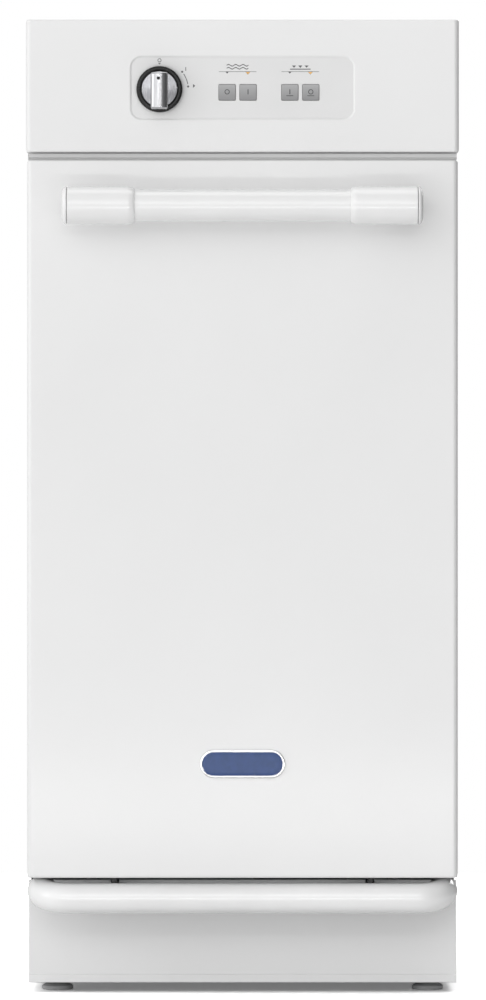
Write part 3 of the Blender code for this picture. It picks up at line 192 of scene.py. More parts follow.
def stack(axis, outline, levels):
    """A closed body through outline(size) at each (size, level), capped at both ends."""
    bm = bmesh.new()
    rings = []
    for size, level in levels:
        rings.append([bm.verts.new(placed(axis, p, level)) for p in outline(size)])
    bridge(bm, zip(rings, rings[1:]))
    bm.faces.new(rings[0])
    bm.faces.new(rings[-1])
    return bm


def block(low, high):
    """A box as a bmesh."""
    bm = bmesh.new()
    centre = (Vector(low) + Vector(high)) / 2
    size = Vector(high) - Vector(low)
    place = Matrix.Translation(centre) @ Matrix.Diagonal((*size, 1))
    bmesh.ops.create_cube(bm, size=1.0, matrix=place)
    return bm


def shape(name, bm, material):
    """A linked object from a bmesh, with its doubles merged and its faces outwards."""
    bmesh.ops.remove_doubles(bm, verts=bm.verts, dist=2e-6)
    bmesh.ops.dissolve_degenerate(bm, edges=bm.edges, dist=1e-7)
    bmesh.ops.recalc_face_normals(bm, faces=bm.faces)
    mesh = bpy.data.meshes.new(name)
    bm.to_mesh(mesh)
    bm.free()
    mesh.materials.append(material)
    made = bpy.data.objects.new(name, mesh)
    bpy.context.scene.collection.objects.link(made)
    return made


def lathe(name, axis, centre, profile, material, sides):
    """A turned body through the profile's (radius, level) points round an axis."""
    return shape(name, stack(axis, lambda radius: circle(centre, radius, sides), profile), material)


def settle(made):
    """Turns a piece and its modifiers into a plain mesh."""
    graph = bpy.context.evaluated_depsgraph_get()
    plain = bpy.data.meshes.new_from_object(made.evaluated_get(graph), depsgraph=graph)
    made.modifiers.clear()
    made.data = plain
    plain.name = made.name
    return made


def carve(made, bm, operation="DIFFERENCE"):
    """Cuts a bmesh out of a piece, or with UNION joins it on."""
    tool = shape("tool", bm, made.data.materials[0])
    cut = made.modifiers.new("carve", "BOOLEAN")
    cut.object = tool
    cut.operation = operation
    settle(made)
    bpy.data.objects.remove(tool)
    return made


def smooth(made, sharp=35):
    """Smooth shading that keeps sharp edges and flat faces."""
    made.data.shade_smooth()
    made.data.set_sharp_from_angle(angle=math.radians(sharp))
    made.modifiers.new("even", "WEIGHTED_NORMAL").keep_sharp = True
    return settle(made)


def front_shell(name, low, high, material, roll, edge):
    """A pressed front: vertical edges rolled to one radius, all other front edges to another."""
    bm = block(low, high)
    front = [e for e in bm.edges if all(v.co.y < low[1] + 1e-5 for v in e.verts)]
    upright = [e for e in front if abs(e.verts[0].co.z - e.verts[1].co.z) > 1e-5]
    bmesh.ops.bevel(bm, geom=upright, offset=roll, segments=10, profile=0.5, affect="EDGES")
    rims = [
        e
        for e in bm.edges
        if any(all(abs(v.co.z - z) < 1e-6 for v in e.verts) for z in (low[2], high[2]))
        and not all(v.co.y > high[1] - 1e-6 for v in e.verts)
    ]
    bmesh.ops.bevel(bm, geom=rims, offset=edge, segments=4, profile=0.5, affect="EDGES")
    back = [f for f in bm.faces if all(v.co.y > high[1] - 1e-6 for v in f.verts)]
    bmesh.ops.delete(bm, geom=back, context="FACES_ONLY")
    made = shape(name, bm, material)
    wall = made.modifiers.new("sheet", "SOLIDIFY")
    wall.thickness = 0.0012
    wall.offset = -1
    wall.use_even_offset = True
    return settle(made)


def finish(name, sockets):
    """A material with its Principled sockets set, its node tree, shader and coordinates."""
    material = bpy.data.materials.new(name)
    material.use_nodes = True
    tree = material.node_tree
    shader = tree.nodes["Principled BSDF"]
    for socket, value in sockets.items():
        shader.inputs[socket].default_value = value
    place = add(tree, "ShaderNodeTexCoord", {}).outputs["Object"]
    return material, tree, shader, place


def feed(tree, shader, sources):
    """Links what varies over the surface to the shader's sockets."""
    for socket, source in sources.items():
        tree.links.new(source, shader.inputs[socket])


def noise(tree, spot, scale, detail):
    """The value of a noise texture at each spot of the surface."""
    spread = {"Vector": spot, "Scale": scale, "Detail": detail}
    return add(tree, "ShaderNodeTexNoise", spread).outputs["Fac"]


def relieved(tree, relief, strength, depth, **more):
    """A surface normal that follows the relief."""
    size = {"Height": relief, "Strength": strength, "Distance": depth}
    return add(tree, "ShaderNodeBump", size, **more).outputs[0]


def dress(tree, shader, tone, varying, least, most, relief, strength, depth):
    """Feeds a shader its tone, a gloss from least to most that follows varying, and a relief."""
    gloss = add(tree, "ShaderNodeMapRange", {0: varying, 3: least, 4: most})
    skin = relieved(tree, relief, strength, depth)
    feed(tree, shader, {"Base Color": tone.outputs[0], "Roughness": gloss.outputs[0], "Normal": skin})


def enamel(name, light, dark, roughness):
    """Baked enamel: satin gloss over a fine orange peel, its tone drifting a hair over the sheet."""
    peel_mm, drift_mm = 2.6, 160.0
    made, tree, shader, place = finish(name, {"IOR": 1.52, "Coat Weight": 0.25, "Coat Roughness": 0.12})
    drift = noise(tree, place, 1000 / drift_mm, 2.0)
    tone = coloured(tree, drift, [(0.25, dark), (0.75, light)])
    lumps = noise(tree, place, 1000 / peel_mm, 1.5)
    dress(tree, shader, tone, lumps, roughness - 0.03, roughness + 0.03, lumps, 0.10, 0.00008)
    return made


white_enamel = enamel("baked_white_enamel", "#e9e9e9", "#e6e6e6", 0.32)
console_low, console_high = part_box("console_front")
window_low, window_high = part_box("control_overlay")
OVERLAY_LIP = 0.005  # the overlay reaches this far behind the window's edge
WINDOW_WIDTH = window_high.x - window_low.x - 2 * OVERLAY_LIP
WINDOW_HEIGHT = window_high.z - window_low.z - 2 * OVERLAY_LIP
WINDOW_CENTRE = (0.0, (window_low.z + window_high.z) / 2)
WINDOW_RADIUS = 0.009
face_y = console_low.y
ROLL, EDGE = 0.0045, 0.0020


def window(grow):
    return rounded(WINDOW_CENTRE, WINDOW_WIDTH + 2 * grow, WINDOW_HEIGHT + 2 * grow, WINDOW_RADIUS + grow, 16)


console = front_shell("console_front_shell", console_low, console_high, white_enamel, ROLL, EDGE)
rolled_in = [(0.0030, face_y - 0.0006), (0.0019, face_y), (0.0015, face_y + 0.00010)]
rolled_in += [(0.0009, face_y + 0.0004), (0.0, face_y + 0.0009), (0.0, face_y + 0.004)]
carve(console, stack("Y", window, rolled_in))
smooth(console)
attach(console, "cabinet")
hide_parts("console_front")


# ---- Control overlay ----
# A moulded panel in light grey polycarbonate behind the window, pierced for four buttons, two
# lamps and the switch shaft. Its legends are screen-printed in dark grey ink.
BUTTONS = ("filter_off_button", "filter_on_button", "power_on_button", "power_off_button")
LAMPS = ("filter_lamp", "power_lamp")


def middle(node):
    low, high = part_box(node)
    return (low + high) / 2


def centre_of(low, high, *axes):
    """The middle of a box along the given axes."""
    return tuple((getattr(low, axis) + getattr(high, axis)) / 2 for axis in axes)


def moulded(name, light, dark, roughness, grain_mm, depth, sockets):
    """Moulded plastic: an even colour with a slight cloud, under a fine spark-eroded grain."""
    made, tree, shader, place = finish(name, {"IOR": 1.5, **sockets})
    tone = coloured(tree, noise(tree, place, 22.0, 3.0), [(0.3, dark), (0.7, light)])
    pits = noise(tree, place, 1000 / grain_mm, 2.0)
    dress(tree, shader, tone, pits, roughness - 0.05, roughness + 0.05, pits, depth, 0.00005)
    return made


polycarbonate = moulded("grey_polycarbonate", "#e3e3e3", "#e0e0e0", 0.42, 0.5, 0.25, {})
overlay_front = face_y + 0.0008
overlay_back = window_high.y
step_y = face_y + 0.0015
CLEAR = 0.0003
SEAM, SEAM_DEPTH = 0.00003, 0.0012  # the overlay's front edge fits the window this closely
overlay_levels = [
    (-SEAM, overlay_front),
    (-SEAM, face_y + SEAM_DEPTH),
    (-CLEAR, face_y + SEAM_DEPTH),
    (-CLEAR, step_y),
    (OVERLAY_LIP, step_y),
    (OVERLAY_LIP, overlay_back),
]
overlay = shape("control_overlay_panel", stack("Y", window, overlay_levels), polycarbonate)
button_low, button_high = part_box(BUTTONS[0])
HOLE_CORNER = 0.0011
FLANGE_LIP = 0.0012  # a button's hidden flange, all round its cap
BUTTON_WIDTH = button_high.x - button_low.x - 2 * FLANGE_LIP
BUTTON_HEIGHT = button_high.z - button_low.z - 2 * FLANGE_LIP
through = [(0.0, overlay_front - 0.002), (0.0, overlay_back + 0.002)]
for node in BUTTONS:
    centre = middle(node)
    hole = rounded((centre.x, centre.z), BUTTON_WIDTH + 2 * CLEAR, BUTTON_HEIGHT + 2 * CLEAR, HOLE_CORNER, 4)
    carve(overlay, stack("Y", lambda _: hole, through))
for node in LAMPS:
    lamp_low, lamp_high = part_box(node)
    hole = [
        (lamp_low.x - CLEAR, lamp_high.z + CLEAR),
        ((lamp_low.x + lamp_high.x) / 2, lamp_low.z - CLEAR),
        (lamp_high.x + CLEAR, lamp_high.z + CLEAR),
    ]
    carve(overlay, stack("Y", lambda _: hole, through))
knob_low, knob_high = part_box("knob_skirt")
KNOB = centre_of(knob_low, knob_high, "x", "z")
KNOB_RADIUS = (knob_high.x - knob_low.x) / 2
SHAFT_HOLE = 0.004
carve(overlay, stack("Y", lambda r: circle(KNOB, r, 24), [(SHAFT_HOLE, y) for _, y in through]))
smooth(overlay)
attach(overlay, "cabinet")
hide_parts("control_overlay")


# ---- Printed legends ----
# Screen ink, a few hundredths of a millimetre thick: index marks and a sweep arc round the
# knob, a rule with pointers over each pair of buttons, and plain symbols for off, on and start.
INK_DEPTH = 0.00006


def flat(bm, points, front):
    """Adds a thin printed patch with the given outline, on the plane at front."""
    back_ring = [bm.verts.new((x, front, z)) for x, z in points]
    front_ring = [bm.verts.new((x, front - INK_DEPTH, z)) for x, z in points]
    bm.faces.new(back_ring)
    bm.faces.new(front_ring)
    for i, corner in enumerate(back_ring):
        j = (i + 1) % len(points)
        bm.faces.new((corner, back_ring[j], front_ring[j], front_ring[i]))


def bar(bm, centre, width, height, front):
    x, z = centre
    w, h = width / 2, height / 2
    flat(bm, [(x - w, z - h), (x + w, z - h), (x + w, z + h), (x - w, z + h)], front)


def arc_band(bm, centre, radius, width, start, end, front):
    """Part of a ring, from start to end in degrees anticlockwise from +X, in short quads."""
    steps = max(6, int(abs(end - start) / 12))
    turns = [math.radians(start + (end - start) * i / steps) for i in range(steps + 1)]
    x, z = centre
    rings = [
        [(x + r * math.cos(a), z + r * math.sin(a)) for a in turns]
        for r in (radius - width / 2, radius + width / 2)
    ]
    for i in range(steps):
        flat(bm, [rings[0][i], rings[1][i], rings[1][i + 1], rings[0][i + 1]], front)


def pointer(bm, centre, size, front, towards=(0, -1)):
    """A small triangle whose point looks along towards."""
    x, z = centre
    ux, uz = towards
    tip = (x + ux * size, z + uz * size)
    left = (x - uz * size * 0.9, z + ux * size * 0.9)
    right = (x + uz * size * 0.9, z - ux * size * 0.9)
    flat(bm, [tip, left, right], front)


def symbol(bm, kind, centre, size, front):
    """Generic marks: a ring is off, a bar is on, a right-pointing triangle is start."""
    if kind == "off":
        arc_band(bm, centre, size * 0.42, size * 0.15, 0, 360, front)
    elif kind == "on":
        bar(bm, centre, size * 0.17, size * 0.95, front)
    else:
        pointer(bm, (centre[0] - size * 0.25, centre[1]), size * 0.55, front, (1, 0))


ink = moulded("dark_grey_screen_ink", "#5a5a5c", "#505052", 0.55, 0.3, 0.2, {})
legend = bmesh.new()
legend_y = overlay_front - 0.00002
MARK = 0.0034
off_turn, on_turn, start_turn = 90.0, 38.0, 6.0  # degrees of the three knob positions
POSITIONS = (("off", off_turn, 0.0256), ("on", on_turn, 0.0292), ("start", start_turn, 0.0304))
for kind, turn, reach in POSITIONS:
    a = math.radians(turn)
    spot = (KNOB[0] + reach * math.cos(a), KNOB[1] + reach * math.sin(a))
    symbol(legend, kind, spot, MARK, legend_y)
INDEX_REACH, INDEX_SIZE = 0.0232, 0.0013
pointer(legend, (KNOB[0], KNOB[1] + INDEX_REACH), INDEX_SIZE, legend_y)
SWEEP, SWEEP_LINE, SWEEP_DOT = 0.0252, 0.0006, 0.0009
arc_band(legend, KNOB, SWEEP, SWEEP_LINE, start_turn + 5, on_turn - 5, legend_y)
for turn in (on_turn, start_turn):
    a = math.radians(turn)
    spot = (KNOB[0] + SWEEP * math.cos(a), KNOB[1] + SWEEP * math.sin(a))
    flat(legend, circle(spot, SWEEP_DOT, 12), legend_y)
rule_z = WINDOW_CENTRE[1] + 0.0143
RULE_LINE, RULE_POINTER = 0.00035, 0.0017
for pair in (BUTTONS[:2], BUTTONS[2:]):
    left, right = middle(pair[0]), middle(pair[1])
    rule_low, rule_high = left.x - BUTTON_WIDTH / 2, right.x + BUTTON_WIDTH / 2
    bar(legend, ((rule_low + rule_high) / 2, rule_z), rule_high - rule_low, RULE_LINE, legend_y)
    pointer(legend, (left.x, rule_z), RULE_POINTER, legend_y)
air_x = (middle(BUTTONS[0]).x + middle(BUTTONS[1]).x) / 2
AIR_WIDTH, AIR_SWELL, AIR_STEPS = 0.019, 0.0007, 36
AIR_LIFT, AIR_PITCH, AIR_HALF_LINE = 0.0030, 0.0026, 0.0004
for row in range(2):
    upper, lower = [], []
    for i in range(AIR_STEPS + 1):
        along = air_x + AIR_WIDTH * (i / AIR_STEPS - 0.5)
        swell = rule_z + AIR_LIFT + row * AIR_PITCH + AIR_SWELL * math.sin(6 * math.pi * i / AIR_STEPS)
        upper.append((along, swell + AIR_HALF_LINE))
        lower.append((along, swell - AIR_HALF_LINE))
    for i in range(AIR_STEPS):
        flat(legend, [lower[i], lower[i + 1], upper[i + 1], upper[i]], legend_y)
press_x = (middle(BUTTONS[2]).x + middle(BUTTONS[3]).x) / 2
PRESS_WIDTH, PRESS_LINE, PRESS_PITCH, PRESS_ARROW = 0.0180, 0.0008, 0.0055, 0.0020
bar(legend, (press_x, rule_z + 0.0022), PRESS_WIDTH, PRESS_LINE, legend_y)
for place_in_row in (-1, 0, 1):
    pointer(legend, (press_x + place_in_row * PRESS_PITCH, rule_z + 0.0054), PRESS_ARROW, legend_y)
legends = shape("printed_legends", legend, ink)
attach(legends, "cabinet")


# ---- Push buttons ----
# Grey silicone-coated caps, crowned from top to bottom so that a finger finds the middle. A
# flange behind the overlay keeps each one in, and a stem presses its switch.
silicone, tree, shader, place = finish("grey_silicone_painted_shade", {"Roughness": 0.5, "IOR": 1.43})
# Painted light and shade: the caps' grey runs by height from darker at the bottom to lighter at the top.
height = add(tree, "ShaderNodeSeparateXYZ", {0: place}).outputs["Z"]
painted_shade_fade = add(
    tree, "ShaderNodeMapRange", {0: height, 1: button_low.z + FLANGE_LIP, 2: button_high.z - FLANGE_LIP}
)
shade = coloured(tree, painted_shade_fade, [(0.0, "#8f8f90"), (0.5, "#9f9fa0"), (1.0, "#afafb0")])
nap = relieved(tree, noise(tree, place, 2800.0, 2.0), 0.3, 0.00005)
feed(tree, shader, {"Base Color": shade.outputs[0], "Normal": nap})
dark_ink = moulded("black_pad_print", "#4d4d4f", "#464648", 0.5, 0.3, 0.2, {})
CROWN, CROWN_STRIPS = 0.0004, 12
CAP_CORNER, STEM_SIZE = 0.0009, 0.0025
CAP_MARK, UNDERLINE, UNDERLINE_DROP = 0.0046, 0.0060, 0.0030
for node, kind in zip(BUTTONS, ("off", "on", "on", "off")):
    centre = middle(node)
    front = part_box(node)[0].y
    spot = (centre.x, centre.z)

    def cap(grow):
        radius = CAP_CORNER + max(grow, 0)
        return rounded(spot, BUTTON_WIDTH + 2 * grow, BUTTON_HEIGHT + 2 * grow, radius, 5)

    flange_y = overlay_back + CLEAR
    levels = [
        (-0.0005, front),
        (-0.00015, front + 0.00012),
        (0.0, front + 0.0005),
        (0.0, flange_y),
        (FLANGE_LIP, flange_y),
        (FLANGE_LIP, flange_y + 0.0012),
    ]
    bm = stack("Y", cap, levels)
    for strip in range(1, CROWN_STRIPS):
        cut_z = spot[1] + BUTTON_HEIGHT * (strip / CROWN_STRIPS - 0.5)
        everything = bm.verts[:] + bm.edges[:] + bm.faces[:]
        bmesh.ops.bisect_plane(bm, geom=everything, plane_co=(0, 0, cut_z), plane_no=(0, 0, 1))
    for vert in bm.verts:
        if vert.co.y < front + 0.0003:
            share = (vert.co.z - spot[1]) / (BUTTON_HEIGHT / 2)
            vert.co.y -= CROWN * max(0.0, 1 - share**2)
    button = shape(node + "_cap", bm, silicone)
    stem_levels = [(STEM_SIZE, flange_y + 0.0008), (STEM_SIZE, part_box(node)[1].y)]
    carve(button, stack("Y", lambda r: circle(spot, r, 20), stem_levels), "UNION")
    smooth(button)
    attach(button, node)
    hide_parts(node)
    bm = bmesh.new()
    symbol(bm, kind, (spot[0], spot[1] + 0.0004), CAP_MARK, front - CROWN)
    if node in BUTTONS[2:]:
        bar(bm, (spot[0], spot[1] - UNDERLINE_DROP), UNDERLINE, 0.0006, front - CROWN * 0.85)
    print_mark = shape(node + "_mark", bm, dark_ink)
    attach(print_mark, node)


# ---- Indicator lamps ----
# Two amber acrylic light pipes, cut as small triangles that point at the button they watch.
amber, tree, shader, place = finish(
    "amber_acrylic",
    {"Roughness": 0.12, "IOR": 1.49, "Subsurface Weight": 0.25, "Coat Weight": 0.4},
)
shader.inputs["Subsurface Radius"].default_value = (0.002, 0.001, 0.0003)
amber_tone = coloured(tree, noise(tree, place, 900.0, 2.0), [(0.3, "#f0b868"), (0.7, "#f5c67e")])
feed(tree, shader, {"Base Color": amber_tone.outputs[0]})


def wear(material, *nodes):
    """Gives CAD nodes that keep their shape their finish."""
    for node in nodes:
        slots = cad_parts[node].data.materials
        slots.clear()
        slots.append(material)


wear(amber, *LAMPS)


# ---- Start knob ----
# A moulded black skirt holds a turned aluminium face with a pressed-in grip bar. The face is
# brushed straight down and lacquered, and a black dot let into the bar points at the setting.
black_abs = moulded("gloss_black_abs", "#19191a", "#131313", 0.24, 0.6, 0.12, {"Specular IOR Level": 0.3})


def brushed(name, light, dark, roughness, axis, streak_mm, length_mm):
    """Metal with fine straight scratches along one axis: their tone and gloss vary across it."""
    made, tree, shader, place = finish(name, {"Metallic": 1.0})
    scale = [1000 / streak_mm] * 3
    scale["XYZ".index(axis)] = 1000 / length_mm
    drawn = add(tree, "ShaderNodeMapping", {"Vector": place, "Scale": scale})
    lines = noise(tree, drawn, 1.0, 3.0)
    tone = coloured(tree, lines, [(0.3, dark), (0.7, light)])
    dress(tree, shader, tone, lines, roughness - 0.06, roughness + 0.08, lines, 0.25, 0.00003)
    return made


brushed_aluminium = brushed("brushed_aluminium", "#a6a6a8", "#85858a", 0.22, "Z", 0.25, 14.0)
knob_face_y, knob_back_y = knob_low.y, knob_low.y + 0.0062
RIM = 0.0042
inner = KNOB_RADIUS - RIM
seat_y = knob_face_y + 0.0032
SHAFT_RADIUS = 0.003
skirt_profile = [
    (0.0, seat_y),
    (inner, seat_y),
    (inner, knob_face_y + 0.0009),
    (inner + 0.0004, knob_face_y + 0.0003),
    (inner + 0.0011, knob_face_y),
    (KNOB_RADIUS - 0.0018, knob_face_y),
    (KNOB_RADIUS - 0.0009, knob_face_y + 0.0002),
    (KNOB_RADIUS - 0.0003, knob_face_y + 0.0008),
    (KNOB_RADIUS, knob_face_y + 0.0017),
    (KNOB_RADIUS, knob_back_y - 0.0005),
    (KNOB_RADIUS - 0.0006, knob_back_y),
    (SHAFT_RADIUS, knob_back_y),
    (SHAFT_RADIUS, knob_high.y),
    (0.0, knob_high.y),
]
skirt = lathe("knob_skirt_ring", "Y", KNOB, skirt_profile, black_abs, 96)
smooth(skirt, 50)
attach(skirt, "knob")
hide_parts("knob_skirt")

grip_low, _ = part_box("knob_grip")
disc_y = knob_face_y + 0.0004
DOME = 0.0011  # the turned face stands this proud in its middle
disc_profile = [(0.0, seat_y - CLEAR), (inner - CLEAR, seat_y - CLEAR), (inner - CLEAR, disc_y + 0.0004)]
for i in range(13):
    share = 1 - i / 12
    disc_profile.append(((inner - CLEAR - 0.0003) * share, disc_y - DOME * (1 - share**2)))
face_disc = lathe("knob_face", "Y", KNOB, disc_profile, brushed_aluminium, 96)
GRIP_CROWN = 0.0026
grip_half = 0.0074
grip_end = (grip_low.z, grip_low.z + 0.0323)
grip_rings = []
END_STEPS = 6
spans = [(1 - math.cos(math.pi / 2 * i / END_STEPS)) for i in range(END_STEPS + 1)]
END_ROUND = 0.0022
ends = [(grip_end[0] + END_ROUND * s, math.sin(math.acos(1 - s))) for s in spans]
ends += [(grip_end[1] - END_ROUND * s, math.sin(math.acos(1 - s))) for s in reversed(spans)]
grip_bm = bmesh.new()
arch, edge, base = 14, 0.0007, disc_y + 0.0010
for z, full in ends:
    ring = []
    half = grip_half - END_ROUND * 0.5 * (1 - full)
    drop = END_ROUND * 0.8 * (1 - full)
    ring.append((-half, base))
    for i in range(arch + 1):
        u = -1 + 2 * i / arch
        x = (half - edge * 0.3) * u
        y = grip_low.y + drop + GRIP_CROWN * abs(u) ** 2.2
        if abs(u) == 1:
            ring.append((half * u, y + edge))
            if u == -1:
                ring.append((x + edge * 0.35, y))
            else:
                ring.insert(len(ring) - 1, (x - edge * 0.35, y))
        else:
            ring.append((x, y))
    ring.append((half, base))
    grip_rings.append([grip_bm.verts.new((KNOB[0] + x, y, z)) for x, y in ring])
bridge(grip_bm, zip(grip_rings, grip_rings[1:]))
grip_bm.faces.new(grip_rings[0])
grip_bm.faces.new(grip_rings[-1])
# The grip bar wears a lighter copy of the face's aluminium, with nearly the same gloss: a painted highlight.
grip_painted_highlight = brushed("grip_aluminium_painted_highlight", "#cdcdcf", "#b4b4b7", 0.20, "Z", 0.2, 10.0)
grip_bar = shape("knob_grip_bar", grip_bm, grip_painted_highlight)
for made in (face_disc, grip_bar):
    smooth(made, 40)
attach(grip_bar, "knob")
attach(face_disc, "knob")
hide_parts("knob_grip")

DOT_RADIUS = 0.0016
dot_spot = (KNOB[0] - 0.0006, KNOB[1] + 0.0088)
dot_y = grip_low.y + 0.0001
dot_profile = [(0.0, dot_y + 0.0012), (DOT_RADIUS, dot_y + 0.0012), (DOT_RADIUS, dot_y)]
dot_profile += [(DOT_RADIUS * 0.7, dot_y - 0.0002), (0.0, dot_y - 0.00025)]
dot = lathe("knob_pointer_dot", "Y", dot_spot, dot_profile, black_abs, 32)
smooth(dot)
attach(dot, "knob")


# ---- Drawer front ----
# The same enamelled steel as the console, full height, with rolled sides. It is flat and
# plain: the tub hangs behind it and the handle's posts are screwed through it from inside.
drawer_low, drawer_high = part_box("drawer_front")
drawer = front_shell("drawer_front_shell", drawer_low, drawer_high, white_enamel, ROLL, EDGE)
smooth(drawer)
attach(drawer, "drawer")
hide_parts("drawer_front")


# ---- Handle ----
# A round bar in glossy white plastic over a steel tube. Its ends sit in two larger sleeves
# with posts to the drawer front, closed by domed end caps that leave a fine seam.
glossy_coat = {"Coat Weight": 0.5, "Coat Roughness": 0.06}
gloss_white = moulded("gloss_white_abs", "#ededed", "#eaeaea", 0.24, 1.4, 0.06, glossy_coat)
bar_low, bar_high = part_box("handle_bar")
HANDLE = centre_of(bar_low, bar_high, "y", "z")
HANDLE_RADIUS = (bar_high.z - bar_low.z) / 2
BAR_CHAMFER = 0.0008
bar_profile = [
    (HANDLE_RADIUS - BAR_CHAMFER, bar_low.x),
    (HANDLE_RADIUS, bar_low.x + BAR_CHAMFER),
    (HANDLE_RADIUS, bar_high.x - BAR_CHAMFER),
    (HANDLE_RADIUS - BAR_CHAMFER, bar_high.x),
]
handle_bar = lathe("handle_bar_tube", "X", HANDLE, bar_profile, gloss_white, 96)
smooth(handle_bar)
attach(handle_bar, "drawer")
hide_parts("handle_bar")

POST_LENGTH, POST_HEIGHT = 0.040, 0.0231
DOME_STEPS = 12
for side, hand in ((-1, "left"), (1, "right")):
    low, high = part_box("handle_sleeve_" + hand)
    inner_x, outer_x = (high.x, low.x) if side < 0 else (low.x, high.x)
    SLEEVE_RADIUS = (high.z - low.z) / 2
    bore = HANDLE_RADIUS + CLEAR
    socket_x = bar_low.x - CLEAR if side < 0 else bar_high.x + CLEAR
    sleeve_profile = [
        (0.0, socket_x),
        (bore, socket_x),
        (bore, inner_x + side * 0.0006),
        (bore + 0.0005, inner_x),
        (SLEEVE_RADIUS - 0.0022, inner_x),
        (SLEEVE_RADIUS - 0.0014, inner_x + side * 0.0006),
        (SLEEVE_RADIUS - 0.0008, inner_x + side * 0.0022),
        (SLEEVE_RADIUS - 0.0003, inner_x + side * 0.0042),
        (SLEEVE_RADIUS, inner_x + side * 0.0064),
        (SLEEVE_RADIUS, outer_x - side * 0.0005),
        (SLEEVE_RADIUS - 0.0005, outer_x),
        (0.0, outer_x),
    ]
    sleeve = lathe("handle_sleeve_" + hand + "_moulding", "X", HANDLE, sleeve_profile, gloss_white, 96)
    post_centre = (outer_x - side * (0.006 + POST_LENGTH / 2), HANDLE[1])
    post_front, post_back = HANDLE[0] + HANDLE_RADIUS + 0.001, face_y - CLEAR

    def post(grow):
        return rounded(post_centre, POST_LENGTH + 2 * grow, POST_HEIGHT + 2 * grow, 0.008 + grow, 8)

    flare = [(0.0, post_front), (0.0, post_back - 0.005)]
    flare += [(0.0003, post_back - 0.0032), (0.0011, post_back - 0.0017), (0.0020, post_back - 0.0010)]
    flare += [(0.0020, post_back)]
    carve(sleeve, stack("Y", post, flare), "UNION")
    smooth(sleeve, 40)
    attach(sleeve, "drawer")
    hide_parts("handle_sleeve_" + hand)

    low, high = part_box("handle_cap_" + hand)
    cap_start, cap_end = (high.x, low.x) if side < 0 else (low.x, high.x)
    CAP_BULGE = cap_end - cap_start
    cap_profile = [(0.0, cap_start), (SLEEVE_RADIUS - 0.0006, cap_start)]
    cap_profile.append((SLEEVE_RADIUS, cap_start + side * 0.0005))
    for i in range(DOME_STEPS + 1):
        a = math.pi / 2 * i / DOME_STEPS
        radius = SLEEVE_RADIUS - 0.0060 * (1 - math.cos(a))
        swell = (CAP_BULGE - side * 0.0008) * math.sin(a) * 0.94
        cap_profile.append((radius, cap_start + side * 0.0008 + swell))
    cap_profile += [(0.0, cap_end)]
    end_cap = lathe("handle_cap_" + hand + "_dome", "X", HANDLE, cap_profile, gloss_white, 96)
    smooth(end_cap, 50)
    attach(end_cap, "drawer")
    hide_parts("handle_cap_" + hand)


# ---- Badge ----
# A blank plate in place of the maker's: blue vitreous enamel fired into a bright nickel-plated
# tray with round ends, stuck to the drawer front.
badge_low, badge_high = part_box("badge")
badge_centre = centre_of(badge_low, badge_high, "x", "z")
BADGE_WIDTH, BADGE_HEIGHT = badge_high.x - badge_low.x, badge_high.z - badge_low.z


def plate(grow):
    wide, tall = BADGE_WIDTH + 2 * grow, BADGE_HEIGHT + 2 * grow
    return rounded(badge_centre, wide, tall, tall / 2 - 1e-5, 20)


nickel = brushed("bright_nickel_plate", "#efefef", "#e2e2e4", 0.14, "X", 0.2, 6.0)
BADGE_RIM = 0.0019
BADGE_WELL = 0.0006
tray = shape(
    "badge_tray",
    stack(
        "Y",
        plate,
        [
            (0.0, badge_high.y),
            (0.0, badge_low.y + 0.0007),
            (-0.0002, badge_low.y + 0.0003),
            (-0.0006, badge_low.y),
            (-BADGE_RIM + 0.0004, badge_low.y),
            (-BADGE_RIM, badge_low.y + 0.0002),
            (-BADGE_RIM - 0.0001, badge_low.y + BADGE_WELL),
        ],
    ),
    nickel,
)
smooth(tray, 50)
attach(tray, "drawer")
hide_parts("badge")

blue_glass, tree, shader, place = finish("blue_vitreous_enamel", {"Roughness": 0.30, "IOR": 1.45})
pool = noise(tree, place, 160.0, 3.0)
pool_tone = coloured(tree, pool, [(0.3, "#2a4577"), (0.7, "#304b82")])
pool_skin = relieved(tree, pool, 0.08, 0.0001)
feed(tree, shader, {"Base Color": pool_tone.outputs[0], "Normal": pool_skin})
fill = shape(
    "badge_fill",
    stack(
        "Y",
        plate,
        [
            (-BADGE_RIM - 0.00015, badge_low.y + BADGE_WELL + 0.0003),
            (-BADGE_RIM - 0.00015, badge_low.y + 0.00045),
            (-BADGE_RIM - 0.0010, badge_low.y + 0.00020),
            (-BADGE_RIM - 0.0030, badge_low.y + 0.00010),
        ],
    ),
    blue_glass,
)
smooth(fill, 60)
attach(fill, "drawer")


# ---- Foot pedal ----
# A steel tube bent back at both ends and dipped in white plastic, so its ends are rounded. Two
# black levers carry it on a shaft behind the toe panel.
dipped_white = moulded("dipped_white_plastic", "#f6f6f6", "#f1f1f1", 0.15, 1.2, 0.04, glossy_coat)
pedal_low, pedal_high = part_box("foot_pedal")
PEDAL_RADIUS = 0.0133
PEDAL_CORNER = 0.024
PEDAL_SLOPE = math.radians(12)
pedal_y = pedal_low.y + PEDAL_RADIUS
pedal_z = pedal_low.z + PEDAL_RADIUS
pedal_x = pedal_high.x - PEDAL_RADIUS
PEDAL_BACK = (pedal_high.y - pedal_y - PEDAL_RADIUS * math.sin(PEDAL_SLOPE)) / math.cos(PEDAL_SLOPE)
TIP_ROUND, TIP_STEPS = 0.0060, 8
CORNER_STEPS = 24
half_line = [(pedal_x, PEDAL_BACK, 0.0)]
for i in range(1, TIP_STEPS + 1):
    a = math.pi / 2 * i / TIP_STEPS
    back = PEDAL_BACK - TIP_ROUND * (1 - math.cos(a))
    half_line.append((pedal_x, back, PEDAL_RADIUS - TIP_ROUND * (1 - math.sin(a))))
half_line.insert(1, (pedal_x, PEDAL_BACK, PEDAL_RADIUS - TIP_ROUND))
for i in range(CORNER_STEPS + 1):
    a = math.pi / 2 * i / CORNER_STEPS
    half_line.append(
        (pedal_x - PEDAL_CORNER * (1 - math.cos(a)), PEDAL_CORNER * (1 - math.sin(a)), PEDAL_RADIUS)
    )
